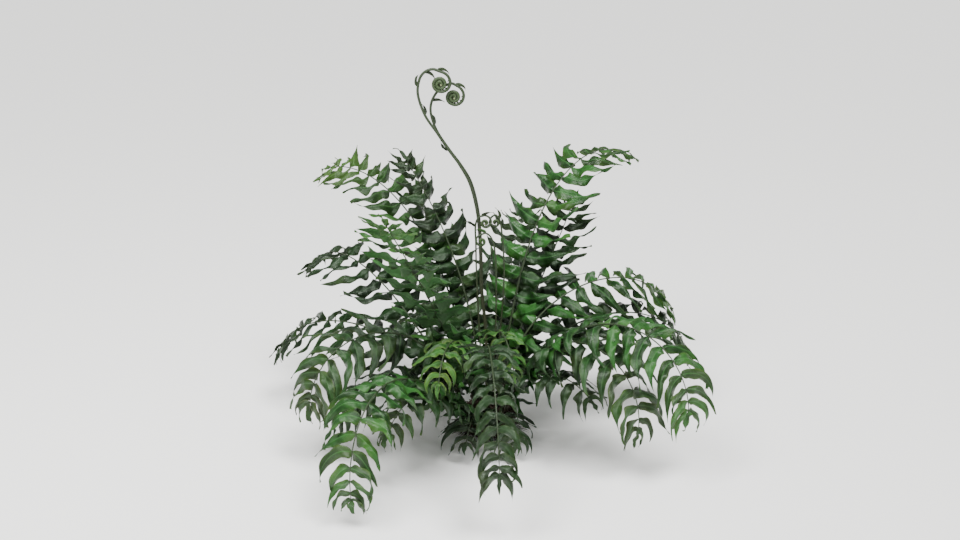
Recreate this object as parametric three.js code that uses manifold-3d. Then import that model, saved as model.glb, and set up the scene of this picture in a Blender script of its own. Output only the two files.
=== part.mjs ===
// A western sword fern as it was lifted from the ground, standing on the flat underside of its crown.
// Millimetres, +Z up. The origin is the middle of the crown's underside, and the camera side is -Y.
// Every frond and every crozier is one solid that stands in its own socket of the crown.
import * as THREE from "three";
import Module from "manifold-3d";

const wasm = await Module();
wasm.setup();

// Crown
const crownRadius = 54;
const crownFootRadius = 48;
const crownHeight = 64;
const crownSides = 14;
const crownDrop = 0.55;
const crownBellyHeight = 15.5;
const oldStubCount = 7;
const oldStubRadius = 7;
const oldStubLength = 37;
const oldStubHeight = 16;
const oldStubRise = 0.55;
const socketDepth = 22;
const socketGap = 0.35;
const socketedLength = 40;

// Rachis, a square rod that tapers from the stipe to the tip of the frond
const stipeHalfWidth = 3.3;
const rachisTipHalfWidth = 0.9;
const walkSteps = 60;

// Leaflets. The ascent is the angle in degrees by which they lean from the rachis's side towards its
// tip, and the lift tips them up. apexPull and underPull bend them towards the frond's tip and its
// underside, and the curl is how far they bend in all.
const leafletRootWidth = 5;
const leafletSpacingFade = 1.3;
const leafletLastPlace = 0.965;
const leafletWidthShare = 0.28;
const leafletWidthOfGap = 0.8;
const leafletThickness = 1.8;
const longestLeafletAt = 0.34;
const rootLeafletTaper = 0.26;
const tipTaperPower = 2.6;
const leastLength = 0.92;
const mostLength = 1.08;
const ascentAtRoot = 8;
const ascentGain = 16;
const ascentSpread = 10;
const leafletLift = 0.16;
const liftSpread = 0.3;
const apexPull = 0.45;
const underPull = 0.25;
const leastCurl = 1.15;
const curlSpread = 0.7;
const mostCurl = 1.5;
const twistSpread = 0.9;
const edgeWave = 0.3;
const edgeWaves = 1.25;
const edgeDrop = 0.12;

// Sections of a leaflet: the way from its root to its tip, and the share of its greatest width. Long
// leaflets, in the middle of the frond, have two, and the others one.
const longLeafletsFrom = 0.05;
const longLeafletsTo = 0.58;
const longSections = [[0.25, 1], [0.62, 0.74]];
const shortSections = [[0.38, 0.95]];

// The slim blade that ends a frond: where it starts, and its size as shares of the frond's leaflets
const endBladeStart = 0.985;
const endBladeHalfWidth = 0.05;
const endBladeLength = 0.28;

// Room kept between a leaflet and the ground, and round it
const groundClearance = 2.5;
const leafletClearance = 0.5;

// Croziers
const stalkSides = 5;
const spiralSteps = 9;
const spiralEntryShare = 0.2;
const spiralEyeShare = 0.15;
const budLength = 20;
const budHalfWidth = 2.2;
const budHalfThickness = 1.1;
const budWaist = 0.45;
const budAngle = 51;

// Fronds: where each leaves the crown, how it climbs, arches and turns, and the size of its leaflets.
// azimuth, rise, droop, sweep and roll are in degrees. droop bends the rachis down towards its tip, by
// the given power of the way along it, and sweep and roll turn it sideways and about itself. hang is
// how far its leaflets hang, and taper the share of their length that they lose towards its tip.
const fronds = {
  frond_back_left_tall: {
    seat: 22, azimuth: 120, rise: 89, droop: 40, power: 0.75, sweep: 28, roll: -8, hang: 0.2,
    length: 568, leaflet: 94, pairs: 16, bareShare: 0.14, taper: 0.45, tone: "deep",
  },
  frond_back_left_long: {
    seat: 32, azimuth: 142, rise: 79, droop: 103, power: 1.95, sweep: -6, roll: 24, hang: 0.2,
    length: 732, leaflet: 94, pairs: 18, bareShare: 0.14, taper: 0.55, tone: "fresh",
  },
  frond_left_near_tall: {
    seat: 22, azimuth: 223, rise: 75, droop: 26, power: 0.6, sweep: 22, roll: 0, hang: 0.25,
    length: 585, leaflet: 98, pairs: 17, bareShare: 0.12, taper: 0.5, tone: "bright",
  },
  frond_left_mid: {
    seat: 36, azimuth: 162, rise: 57, droop: 108, power: 2.5, sweep: -38, roll: 20, hang: 0.4,
    length: 600, leaflet: 98, pairs: 15, bareShare: 0.15, taper: 0.5, tone: "deep",
  },
  frond_left_low_near: {
    seat: 38, azimuth: 195, rise: 73, droop: 165, power: 1.7, sweep: 28, roll: 20, hang: 0.5,
    length: 552, leaflet: 112, pairs: 15, bareShare: 0.12, taper: 0.5, tone: "mid",
  },
  frond_left_low_far: {
    seat: 38, azimuth: 176, rise: 60, droop: 118, power: 1.4, sweep: -30, roll: 20, hang: 0.7,
    length: 556, leaflet: 108, pairs: 15, bareShare: 0.14, taper: 0.6, tone: "deep",
  },
  frond_left_short: {
    seat: 40, azimuth: 207, rise: 62, droop: 130, power: 1.5, sweep: 0, roll: 10, hang: 0.7,
    length: 380, leaflet: 88, pairs: 9, bareShare: 0.2, taper: 0.5, tone: "deep",
  },
  frond_front_left: {
    seat: 40, azimuth: 226, rise: 47, droop: 166, power: 2.3, sweep: 34, roll: 6, hang: 0.4,
    length: 645, leaflet: 94, pairs: 17, bareShare: 0.1, taper: 0.55, tone: "bright",
  },
  frond_front_left_short: {
    seat: 38, azimuth: 240, rise: 48, droop: 117, power: 2.5, sweep: -7, roll: 0, hang: 0.6,
    length: 384, leaflet: 90, pairs: 10, bareShare: 0.16, taper: 0.6, tone: "mid",
  },
  frond_front_low_left: {
    seat: 40, azimuth: 256, rise: 62, droop: 124, power: 1.3, sweep: 0, roll: 0, hang: 0.8,
    length: 170, leaflet: 72, pairs: 7, bareShare: 0.2, taper: 0.6, tone: "deep",
  },
  frond_front: {
    seat: 32, azimuth: 268, rise: 76, droop: 166, power: 1.45, sweep: 9, roll: 0, hang: 0.4,
    length: 672, leaflet: 64, pairs: 19, bareShare: 0.12, taper: 0.1, tone: "deep",
  },
  frond_front_low_right: {
    seat: 40, azimuth: 288, rise: 62, droop: 124, power: 1.3, sweep: 0, roll: 0, hang: 0.8,
    length: 170, leaflet: 72, pairs: 7, bareShare: 0.2, taper: 0.6, tone: "deep",
  },
  frond_front_right_short: {
    seat: 38, azimuth: 316, rise: 78, droop: 118, power: 1.3, sweep: 0, roll: 0, hang: 0.8,
    length: 330, leaflet: 92, pairs: 9, bareShare: 0.18, taper: 0.5, tone: "deep",
  },
  frond_front_right: {
    seat: 38, azimuth: 332, rise: 77, droop: 182, power: 1.6, sweep: -24, roll: -10, hang: 0.8,
    length: 555, leaflet: 108, pairs: 13, bareShare: 0.14, taper: 0.55, tone: "mid",
  },
  frond_right_low: {
    seat: 30, azimuth: 342, rise: 64, droop: 160, power: 1.95, sweep: -34, roll: -15, hang: 0.8,
    length: 640, leaflet: 108, pairs: 16, bareShare: 0.11, taper: 0.45, tone: "bright",
  },
  frond_right_mid: {
    seat: 38, azimuth: 0, rise: 83, droop: 150, power: 1.1, sweep: 32, roll: -25, hang: 0.4,
    length: 590, leaflet: 100, pairs: 15, bareShare: 0.13, taper: 0.5, tone: "deep",
  },
  frond_right_high: {
    seat: 30, azimuth: 8, rise: 87, droop: 142, power: 1.35, sweep: 20, roll: -20, hang: 0.7,
    length: 575, leaflet: 112, pairs: 15, bareShare: 0.15, taper: 0.45, tone: "bright",
  },
  frond_back_right_low: {
    seat: 22, azimuth: 31, rise: 83, droop: 45, power: 0.65, sweep: 34, roll: 0, hang: 0.15,
    length: 496, leaflet: 90, pairs: 14, bareShare: 0.15, taper: 0.6, tone: "deep",
  },
  frond_back_right_tall: {
    seat: 32, azimuth: 53, rise: 76, droop: 111, power: 3.0, sweep: -12, roll: 0, hang: 0.25,
    length: 730, leaflet: 96, pairs: 19, bareShare: 0.1, taper: 0.5, tone: "bright",
  },
  frond_back_tall: {
    seat: 22, azimuth: 74, rise: 67, droop: 26, power: 0.6, sweep: 4, roll: 0, hang: 0.25,
    length: 460, leaflet: 88, pairs: 13, bareShare: 0.16, taper: 0.6, tone: "deep",
  },
  frond_back_right_arched: {
    seat: 40, azimuth: 82, rise: 54, droop: 124, power: 1.7, sweep: -12, roll: 0, hang: 0.5,
    length: 490, leaflet: 88, pairs: 10, bareShare: 0.22, taper: 0.6, tone: "mid",
  },
  frond_back_left_arched: {
    seat: 40, azimuth: 112, rise: 50, droop: 116, power: 1.7, sweep: 10, roll: 0, hang: 0.5,
    length: 490, leaflet: 88, pairs: 10, bareShare: 0.22, taper: 0.6, tone: "mid",
  },
  frond_young_left: {
    seat: 20, azimuth: 244, rise: 67, droop: 144, power: 2.7, sweep: 16, roll: 0, hang: 0.6,
    length: 438, leaflet: 64, pairs: 9, bareShare: 0.42, taper: 0.6, tone: "young",
  },
  frond_young_right: {
    seat: 20, azimuth: 276, rise: 92, droop: 178, power: 2.0, sweep: 12, roll: 0, hang: 0.6,
    length: 410, leaflet: 50, pairs: 7, bareShare: 0.48, taper: 0.6, tone: "young",
  },
};

// Croziers: each stalk passes through its points, then winds inwards round the centre of its coil.
// clockwise is as seen from the camera side, and buds are the ways along the stalk of its small leaves.
const croziers = {
  crozier_tall_front: {
    points: [
      [-1, -2, 42], [-2, 4, 120], [-4, 10, 216], [-13, 13, 303], [-15, 14, 389], [-20, 14, 462],
      [-34, 14, 524], [-55, 14, 565], [-76, 14, 595], [-99, 14, 630], [-122, 14, 665],
      [-135, 14, 705], [-132, 14, 734], [-122, 14, 749], [-106, 14, 755], [-90, 14, 750],
    ],
    coilCentre: [-92, 14, 726], coilRadius: 14.5, clockwise: true, turns: 2.4, stalk: 2.4, tone: "stalk",
    buds: [[0.56, -1], [0.69, 1], [0.79, -1], [0.9, 1], [0.985, -1]],
  },
  crozier_tall_back: {
    points: [
      [1, 10, 42], [0, 16, 120], [-2, 22, 216], [-10, 25, 303], [-12, 26, 389], [-17, 26, 462],
      [-31, 26, 524], [-52, 26, 562], [-74, 26, 592], [-97, 26, 627], [-109, 26, 657],
      [-111, 26, 680], [-104, 26, 700], [-90, 26, 716], [-71, 26, 725], [-57, 26, 719],
    ],
    coilCentre: [-66, 26, 698], coilRadius: 14, clockwise: true, turns: 2.4, stalk: 2.3, tone: "stalk",
    buds: [[0.66, 1], [0.8, 1], [0.985, -1]],
  },
  crozier_small_left: {
    points: [
      [-8, -8, 42], [-12, -4, 140], [-18, 0, 260], [-22, 2, 350], [-23, 2, 405], [-24, 2, 442],
      [-18, 2, 460], [-6, 2, 465],
    ],
    coilCentre: [-4, 2, 449], coilRadius: 10, clockwise: true, turns: 1.6, stalk: 1.7, tone: "stalk",
    buds: [[0.8, -1], [0.97, -1]],
  },
  crozier_small_middle: {
    points: [
      [8, -8, 42], [12, -10, 130], [17, -12, 230], [18, -12, 320], [16, -12, 385], [10, -12, 418],
      [-2, -12, 432], [-15, -12, 428],
    ],
    coilCentre: [-12, -12, 415], coilRadius: 9.5, clockwise: false, turns: 1.5, stalk: 1.6, tone: "young",
    buds: [[0.9, 1]],
  },
  crozier_small_right: {
    points: [
      [12, 4, 42], [18, 6, 130], [28, 8, 230], [34, 9, 330], [32, 9, 395], [28, 9, 436], [24, 9, 455],
      [17, 9, 464],
    ],
    coilCentre: [16, 9, 448], coilRadius: 9.5, clockwise: false, turns: 1.5, stalk: 1.6, tone: "stalk",
    buds: [[0.75, 1], [0.95, 1]],
  },
};

const tones = {
  deep: 0x24361f,
  mid: 0x2f5a2c,
  fresh: 0x3f6e2f,
  bright: 0x3a7a38,
  young: 0x6c9338,
  stalk: 0x3c4f2c,
  crown: 0x4a3626,
};

// A repeatable draw between 0 and 1 for a whole number.
function dice(number) {
  const wave = Math.sin(number * 12.9898) * 43758.5453;
  return wave - Math.floor(wave);
}

const radians = THREE.MathUtils.degToRad;
const lerp = THREE.MathUtils.lerp;
const vector = (x, y, z) => new THREE.Vector3(x, y, z);

// Closed surfaces are gathered here as a list of triangle corners.
class Skin {
  constructor() {
    this.corners = [];
  }

  triangle(a, b, c) {
    for (const point of [a, b, c]) {
      this.corners.push(point.x, point.y, point.z);
    }
  }

  // Rings run clockwise as seen along the way they travel. The diagonals alternate, so that a thin blade
  // of four corners is split alike on both its faces.
  band(ring, next) {
    for (let j = 0; j < ring.length; j += 1) {
      this.side(ring, next, j);
    }
  }

  side(ring, next, j) {
    const k = (j + 1) % ring.length;
    if (j % 2 === 0) {
      this.triangle(ring[j], ring[k], next[k]);
      this.triangle(ring[j], next[k], next[j]);
    } else {
      this.triangle(ring[j], ring[k], next[j]);
      this.triangle(ring[k], next[k], next[j]);
    }
  }

  point(ring, tip) {
    for (let j = 0; j < ring.length; j += 1) {
      this.triangle(ring[j], ring[(j + 1) % ring.length], tip);
    }
  }

  startCap(ring) {
    for (let j = 1; j < ring.length - 1; j += 1) {
      this.triangle(ring[0], ring[j + 1], ring[j]);
    }
  }

  endCap(ring) {
    for (let j = 1; j < ring.length - 1; j += 1) {
      this.triangle(ring[0], ring[j], ring[j + 1]);
    }
  }

  geometry() {
    const made = new THREE.BufferGeometry();
    made.setAttribute("position", new THREE.Float32BufferAttribute(this.corners, 3));
    made.computeVertexNormals();
    return made;
  }

  solid() {
    const places = new Map();
    const vertices = [];
    const faces = [];
    for (let i = 0; i < this.corners.length; i += 3) {
      const xyz = this.corners.slice(i, i + 3).map(Math.fround);
      const key = xyz.join(" ");
      if (!places.has(key)) {
        places.set(key, places.size);
        vertices.push(...xyz);
      }
      faces.push(places.get(key));
    }
    return solidFrom(new Float32Array(vertices), new Uint32Array(faces));
  }
}

function solidFrom(vertProperties, triVerts) {
  return new wasm.Manifold(new wasm.Mesh({ numProp: 3, vertProperties, triVerts }));
}

function geometryOf(solid) {
  const mesh = solid.getMesh();
  const indexed = new THREE.BufferGeometry();
  indexed.setAttribute("position", new THREE.BufferAttribute(mesh.vertProperties, 3));
  indexed.setIndex(new THREE.BufferAttribute(mesh.triVerts, 1));
  const made = indexed.toNonIndexed();
  made.computeVertexNormals();
  return made;
}

// The height of the crown's domed top at a distance from its axis.
function crownTop(radius) {
  return crownHeight * (1 - crownDrop * (radius / crownRadius) ** 2);
}

// The middle line of a frond, walked in equal steps, with its direction, upper side and left side.
function walkFrond(frond) {
  const start = radians(frond.azimuth);
  const place = vector(frond.seat * Math.cos(start), frond.seat * Math.sin(start), 0);
  place.z = crownTop(frond.seat) - socketDepth;
  const stops = [{ share: 0, place: place.clone(), ...frameOf(frond, 0) }];
  for (let i = 0; i < walkSteps; i += 1) {
    const middle = frameOf(frond, (i + 0.5) / walkSteps);
    place.addScaledVector(middle.along, frond.length / walkSteps);
    const share = (i + 1) / walkSteps;
    stops.push({ share, place: place.clone(), ...frameOf(frond, share) });
  }
  return stops;
}

function frameOf(frond, share) {
  const climb = radians(frond.rise - frond.droop * share ** frond.power);
  const heading = radians(frond.azimuth + frond.sweep * share);
  const roll = radians(frond.roll * share);
  const along = vector(
    Math.cos(climb) * Math.cos(heading),
    Math.cos(climb) * Math.sin(heading),
    Math.sin(climb),
  );
  const flatLeft = vector(-Math.sin(heading), Math.cos(heading), 0);
  const flatUp = flatLeft.clone().cross(along).negate();
  const up = flatUp.clone().multiplyScalar(Math.cos(roll)).addScaledVector(flatLeft, Math.sin(roll));
  const left = flatLeft.clone().multiplyScalar(Math.cos(roll)).addScaledVector(flatUp, -Math.sin(roll));
  return { along, up, left };
}

function stopAt(frond, stops, share) {
  const step = Math.min(share * walkSteps, walkSteps - 1e-6);
  const before = Math.floor(step);
  const place = stops[before].place.clone().lerp(stops[before + 1].place, step - before);
  return { share, place, ...frameOf(frond, share) };
}

function rachisHalfWidth(share) {
  return lerp(stipeHalfWidth, rachisTipHalfWidth, share ** 0.8);
}

// Four corners round the rachis: left top, right top, right bottom, left bottom.
function rachisRing(stop, halfWidth, halfHeight) {
  const corners = [[1, 1], [-1, 1], [-1, -1], [1, -1]];
  return corners.map(([side, above]) =>
    stop.place.clone()
      .addScaledVector(stop.left, side * halfWidth)
      .addScaledVector(stop.up, above * halfHeight),
  );
}

// The leaflets sit closer together towards the tip of the frond.
function leafletPlaces(frond) {
  const places = [];
  for (let i = 0; i < frond.pairs; i += 1) {
    const way = i / (frond.pairs - 1);
    const spread = 1 - (1 - way) ** leafletSpacingFade;
    places.push({ index: i, way, share: lerp(frond.bareShare, leafletLastPlace, spread) });
  }
  return places;
}

// Leaflets are longest a third of the way along the blade and shrink to its tip, by the frond's taper.
function leafletLengthShare(way, taper) {
  if (way < longestLeafletAt) {
    return 1 - rootLeafletTaper * (1 - way / longestLeafletAt) ** 2;
  }
  return 1 - taper * ((way - longestLeafletAt) / (1 - longestLeafletAt)) ** tipTaperPower;
}

// Each way that a leaflet may be bent clear of its neighbours, from the most natural one on.
function* bends() {
  for (const size of [1, 0.85, 0.7, 0.55, 0.4, 0.28]) {
    for (const lift of [0, 0.25, -0.25, 0.5, -0.5, 0.75]) {
      for (const lean of [0, 0.25, -0.25]) {
        yield { size, lift, lean };
      }
    }
  }
}

// The size, direction and curl of one leaflet before its outline is drawn.
function leafletOf(frond, seed, stops, spot, side, bend) {
  const draw = 1000 * seed + 20 * spot.index + (side > 0 ? 0 : 10);
  const stop = stopAt(frond, stops, spot.share);
  const gap = (frond.length * (leafletLastPlace - frond.bareShare)) / frond.pairs;
  const lengthShare = leafletLengthShare(spot.way, frond.taper);
  const length = frond.leaflet * lengthShare * lerp(leastLength, mostLength, dice(draw)) * bend.size;
  const halfWidth = 0.5 * Math.min(length * leafletWidthShare, gap * leafletWidthOfGap);
  const ascent = radians(ascentAtRoot + ascentGain * spot.way ** 2 + ascentSpread * (dice(draw + 1) - 0.5));
  const rising = leafletLift + liftSpread * (dice(draw + 2) - 0.5) + bend.lift;
  const lean = Math.sin(ascent) + bend.lean;
  const reach = stop.left.clone().multiplyScalar(side * Math.cos(ascent))
    .addScaledVector(stop.along, lean)
    .addScaledVector(stop.up, rising)
    .normalize();
  const pull = vector(0, 0, -frond.hang)
    .addScaledVector(stop.along, apexPull)
    .addScaledVector(stop.up, -underPull);
  pull.addScaledVector(reach, -pull.dot(reach));
  const curl = Math.min(mostCurl, pull.length() * (leastCurl + curlSpread * dice(draw + 3)));
  pull.normalize();
  const lead = stop.along.clone().addScaledVector(reach, -stop.along.dot(reach)).normalize();
  const twist = twistSpread * (dice(draw + 4) - 0.5);
  const wave = dice(draw + 5);
  return { root: stop.place, side, length, halfWidth, reach, pull, lead, curl, twist, wave, stop };
}

// A place on a leaflet's middle line, with the directions of its width and of its upper face.
function leafletStop(leaf, way) {
  const angle = leaf.curl * way;
  const run = Math.sin(angle) / leaf.curl;
  const drop = (1 - Math.cos(angle)) / leaf.curl;
  const place = leaf.root.clone()
    .addScaledVector(leaf.reach, leaf.length * run)
    .addScaledVector(leaf.pull, leaf.length * drop);
  const along = leaf.reach.clone().multiplyScalar(Math.cos(angle))
    .addScaledVector(leaf.pull, Math.sin(angle));
  const hinge = leaf.reach.clone().cross(leaf.pull);
  const acrossHinge = leaf.lead.dot(hinge);
  const acrossPull = leaf.lead.dot(leaf.pull);
  const flat = hinge.multiplyScalar(acrossHinge)
    .addScaledVector(leaf.pull, acrossPull * Math.cos(angle))
    .addScaledVector(leaf.reach, -acrossPull * Math.sin(angle));
  const face = flat.clone().cross(along).multiplyScalar(leaf.side);
  const turn = leaf.twist * way;
  const width = flat.clone().multiplyScalar(Math.cos(turn)).addScaledVector(face, Math.sin(turn));
  const up = face.clone().multiplyScalar(Math.cos(turn)).addScaledVector(flat, -Math.sin(turn));
  return { place, width, up };
}

// A diamond section of the blade: trailing edge, top, leading edge, bottom. The edges ride up and down
// in a wave along the blade.
function leafletRing(leaf, way, widthShare, extra = 0) {
  const { place, width, up } = leafletStop(leaf, way);
  const half = leaf.halfWidth * widthShare + extra;
  const thick = leafletThickness / 2 + extra;
  const wave = edgeWave * leaf.halfWidth * Math.sin(2 * Math.PI * (edgeWaves * way + leaf.wave));
  const drop = edgeDrop * half;
  const trail = place.clone().addScaledVector(width, -half).addScaledVector(up, -wave - drop);
  const lead = place.clone().addScaledVector(width, half).addScaledVector(up, wave - drop);
  const top = place.clone().addScaledVector(up, thick);
  const bottom = place.clone().addScaledVector(up, -thick);
  return leaf.side > 0 ? [trail, top, lead, bottom] : [trail, bottom, lead, top];
}

// The rings of a leaflet from near its root to near its tip.
function leafletRings(leaf, isLong, extra = 0) {
  const sections = isLong ? longSections : shortSections;
  return sections.map(([way, share]) => leafletRing(leaf, way, share, extra));
}

function leafletTip(leaf) {
  return leafletStop(leaf, 1).place;
}

// The blade with a small skirt of clear room round it, as a solid of its own for the crossing test.
function leafletEnvelope(leaf, isLong) {
  const skin = new Skin();
  const { stop, side } = leaf;
  const halfWidth = leafletRootWidth / 2 + leafletClearance;
  const halfHeight = rachisHalfWidth(stop.share) + leafletClearance;
  const corners = side > 0 ? [[-1, -1], [-1, 1], [1, 1], [1, -1]] : [[-1, -1], [1, -1], [1, 1], [-1, 1]];
  const root = corners.map(([ahead, above]) =>
    stop.place.clone()
      .addScaledVector(stop.along, ahead * halfWidth)
      .addScaledVector(stop.up, above * halfHeight),
  );
  const rings = [root, ...leafletRings(leaf, isLong, leafletClearance)];
  skin.startCap(rings[0]);
  for (let i = 0; i + 1 < rings.length; i += 1) {
    skin.band(rings[i], rings[i + 1]);
  }
  skin.point(rings.at(-1), leafletStop(leaf, 1 + leafletClearance / leaf.length).place);
  return skin;
}

// Solids that are already placed, each with its bounding box, so that a new one can be tested quickly.
class Thicket {
  constructor() {
    this.placed = [];
  }

  add(skin, owner, order) {
    this.placed.push({ solid: skin.solid(), box: boxOf(skin.corners), owner, order });
  }

  isClear(skin, owner, order) {
    const box = boxOf(skin.corners);
    if (box.min.z < groundClearance) {
      return false;
    }
    const solid = skin.solid();
    const hit = this.placed.some((other) => {
      if (other.owner === owner && Math.abs(other.order - order) < 1) {
        return false;
      }
      if (!other.box.intersectsBox(box)) {
        return false;
      }
      const shared = other.solid.intersect(solid);
      const touches = !shared.isEmpty();
      shared.delete();
      return touches;
    });
    solid.delete();
    return !hit;
  }
}

function boxOf(corners) {
  return new THREE.Box3().setFromArray(corners);
}

// The rachis as a row of short solids, between one pair of leaflets and the next.
function placeRachis(thicket, name, frond, stops, spots) {
  const shares = [0, 0.5 * frond.bareShare, ...spots.map((spot) => spot.share), 1];
  for (let i = 0; i + 1 < shares.length; i += 1) {
    const rings = [shares[i], shares[i + 1]].map((share) => {
      const stop = stopAt(frond, stops, share);
      const half = rachisHalfWidth(share) + leafletClearance;
      return rachisRing(stop, half, half);
    });
    const skin = new Skin();
    skin.startCap(rings[0]);
    skin.band(rings[0], rings[1]);
    skin.endCap(rings[1]);
    thicket.add(skin, name, i - 1.5);
  }
}

// One frond as one closed skin: the stipe, the rachis and every leaflet grown out of its flanks.
function frondSkin(frond, stops, spots, leaves) {
  const skin = new Skin();
  const ringAt = (share) => {
    const half = rachisHalfWidth(share);
    return rachisRing(stopAt(frond, stops, share), half, half);
  };
  let ring = ringAt(0);
  skin.startCap(ring);
  const socketEnd = socketedLength / frond.length;
  for (const share of [socketEnd, 0.55 * (socketEnd + frond.bareShare)]) {
    const next = ringAt(share);
    skin.band(ring, next);
    ring = next;
  }
  for (const spot of spots) {
    const rootShare = Math.min(leafletRootWidth, 0.5 * rootRoom(frond, spot)) / frond.length / 2;
    const before = ringAt(spot.share - rootShare);
    const after = ringAt(spot.share + rootShare);
    skin.band(ring, before);
    skin.side(before, after, 0);
    skin.side(before, after, 2);
    const left = leaves.get(`${spot.index} 1`);
    const right = leaves.get(`${spot.index} -1`);
    if (left) {
      growLeaflet(skin, [before[3], before[0], after[0], after[3]], left);
    } else {
      skin.side(before, after, 3);
    }
    if (right) {
      growLeaflet(skin, [before[2], after[2], after[1], before[1]], right);
    } else {
      skin.side(before, after, 1);
    }
    ring = after;
  }
  const end = stopAt(frond, stops, endBladeStart);
  const blade = rachisRing(end, endBladeHalfWidth * frond.leaflet, leafletThickness / 2);
  const tip = stopAt(frond, stops, 1).place.addScaledVector(end.along, endBladeLength * frond.leaflet);
  skin.band(ring, blade);
  skin.point(blade, tip);
  return skin;
}

// The length of rachis that a pair of leaflets has to itself.
function rootRoom(frond, spot) {
  const step = 1 / (frond.pairs - 1);
  const fade = leafletSpacingFade * (1 - spot.way + step) ** (leafletSpacingFade - 1);
  return frond.length * (leafletLastPlace - frond.bareShare) * step * Math.min(1, fade) * 0.6;
}

function growLeaflet(skin, rootRing, grown) {
  let ring = rootRing;
  for (const next of leafletRings(grown.leaf, grown.isLong)) {
    skin.band(ring, next);
    ring = next;
  }
  skin.point(ring, leafletTip(grown.leaf));
}

// A stalk of round section along its points and then round its coil, all in a plane across the view.
function crozierSkin(crozier) {
  const skin = new Skin();
  const route = crozierRoute(crozier);
  let previous = null;
  route.forEach((stop, i) => {
    const next = route[Math.min(i + 1, route.length - 1)].place;
    const last = route[Math.max(i - 1, 0)].place;
    const along = next.clone().sub(last).normalize();
    const across = vector(0, 1, 0).addScaledVector(along, -along.y).normalize();
    const out = across.clone().cross(along);
    const ring = [];
    for (let j = 0; j < stalkSides; j += 1) {
      const angle = (2 * Math.PI * j) / stalkSides;
      ring.push(stop.place.clone()
        .addScaledVector(out, stop.radius * Math.cos(angle))
        .addScaledVector(across, stop.radius * Math.sin(angle)));
    }
    if (previous) {
      skin.band(previous, ring);
    } else {
      skin.startCap(ring);
    }
    previous = ring;
  });
  skin.endCap(previous);
  return { skin, route };
}

function crozierRoute(crozier) {
  const points = crozier.points.map((xyz) => vector(...xyz));
  const centre = vector(...crozier.coilCentre);
  const curve = new THREE.CatmullRomCurve3(points, false, "catmullrom", 0.5);
  const steps = 2 * (points.length - 1);
  const route = [];
  for (let i = 0; i < steps; i += 1) {
    route.push({ place: curve.getPoint(i / steps), radius: crozier.stalk });
  }
  const spin = crozier.clockwise ? -1 : 1;
  const entry = points.at(-1).clone().sub(centre);
  const startAngle = Math.atan2(entry.z, entry.x);
  const startRadius = Math.hypot(entry.x, entry.z);
  const coilSteps = Math.round(crozier.turns * spiralSteps);
  for (let i = 0; i <= coilSteps; i += 1) {
    const way = i / coilSteps;
    const angle = startAngle + spin * 2 * Math.PI * crozier.turns * way;
    const closing = Math.min(1, way / spiralEntryShare);
    const winding = Math.max(0, (way - spiralEntryShare) / (1 - spiralEntryShare));
    const wound = lerp(startRadius, crozier.coilRadius, closing);
    const radius = lerp(wound, spiralEyeShare * crozier.coilRadius, winding);
    route.push({
      place: vector(centre.x + radius * Math.cos(angle), centre.y, centre.z + radius * Math.sin(angle)),
      radius: crozier.stalk * lerp(1.05, 0.8, way),
    });
  }
  return route;
}

// A small folded leaf on a stalk: a slim double pyramid with its root sunk in the stalk, which it
// leaves at the bud angle, in degrees from the way across the stalk.
function budSkin(crozier, route, share, side) {
  const stalkStops = 2 * (crozier.points.length - 1);
  const index = Math.round(share * (stalkStops - 1));
  const stop = route[index].place;
  const along = route[index + 1].place.clone().sub(stop).normalize();
  const out = vector(0, 1, 0).cross(along).multiplyScalar(side);
  const rising = Math.sin(radians(budAngle));
  const reach = out.clone().multiplyScalar(Math.cos(radians(budAngle))).addScaledVector(along, rising);
  const waist = stop.clone().addScaledVector(reach, budWaist * budLength);
  const width = vector(0, 1, 0).cross(reach).normalize().multiplyScalar(budHalfWidth);
  const depth = vector(0, budHalfThickness, 0);
  const ring = [
    waist.clone().add(width),
    waist.clone().add(depth),
    waist.clone().sub(width),
    waist.clone().sub(depth),
  ];
  const skin = new Skin();
  skin.point(ring, stop.clone().addScaledVector(reach, budLength));
  skin.point([...ring].reverse(), stop.clone());
  return skin;
}

// The crown: a squat dome on a flat foot, with the stubs of old stipes round its flank.
function crownSolid() {
  const profile = [new THREE.Vector2(0, 0), new THREE.Vector2(crownFootRadius, 0)];
  profile.push(new THREE.Vector2(crownRadius, crownBellyHeight));
  for (const share of [0.94, 0.72, 0.4]) {
    profile.push(new THREE.Vector2(share * crownRadius, crownTop(share * crownRadius)));
  }
  profile.push(new THREE.Vector2(0, crownTop(0)));
  const lathe = new THREE.LatheGeometry(profile, crownSides).rotateX(Math.PI / 2);
  return solidOfGeometry(lathe);
}

function solidOfGeometry(geometry) {
  const flat = geometry.index ? geometry.toNonIndexed() : geometry;
  const skin = new Skin();
  const place = flat.getAttribute("position");
  for (let i = 0; i < place.count; i += 3) {
    const points = [0, 1, 2].map((j) => new THREE.Vector3().fromBufferAttribute(place, i + j));
    points.forEach((p) => p.set(snap(p.x), snap(p.y), snap(p.z)));
    const area = points[1].clone().sub(points[0]).cross(points[2].clone().sub(points[0])).length();
    if (area > 1e-6) {
      skin.triangle(...points);
    }
  }
  return skin.solid();
}

function snap(value) {
  return Math.round(value * 1e4) / 1e4;
}

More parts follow.
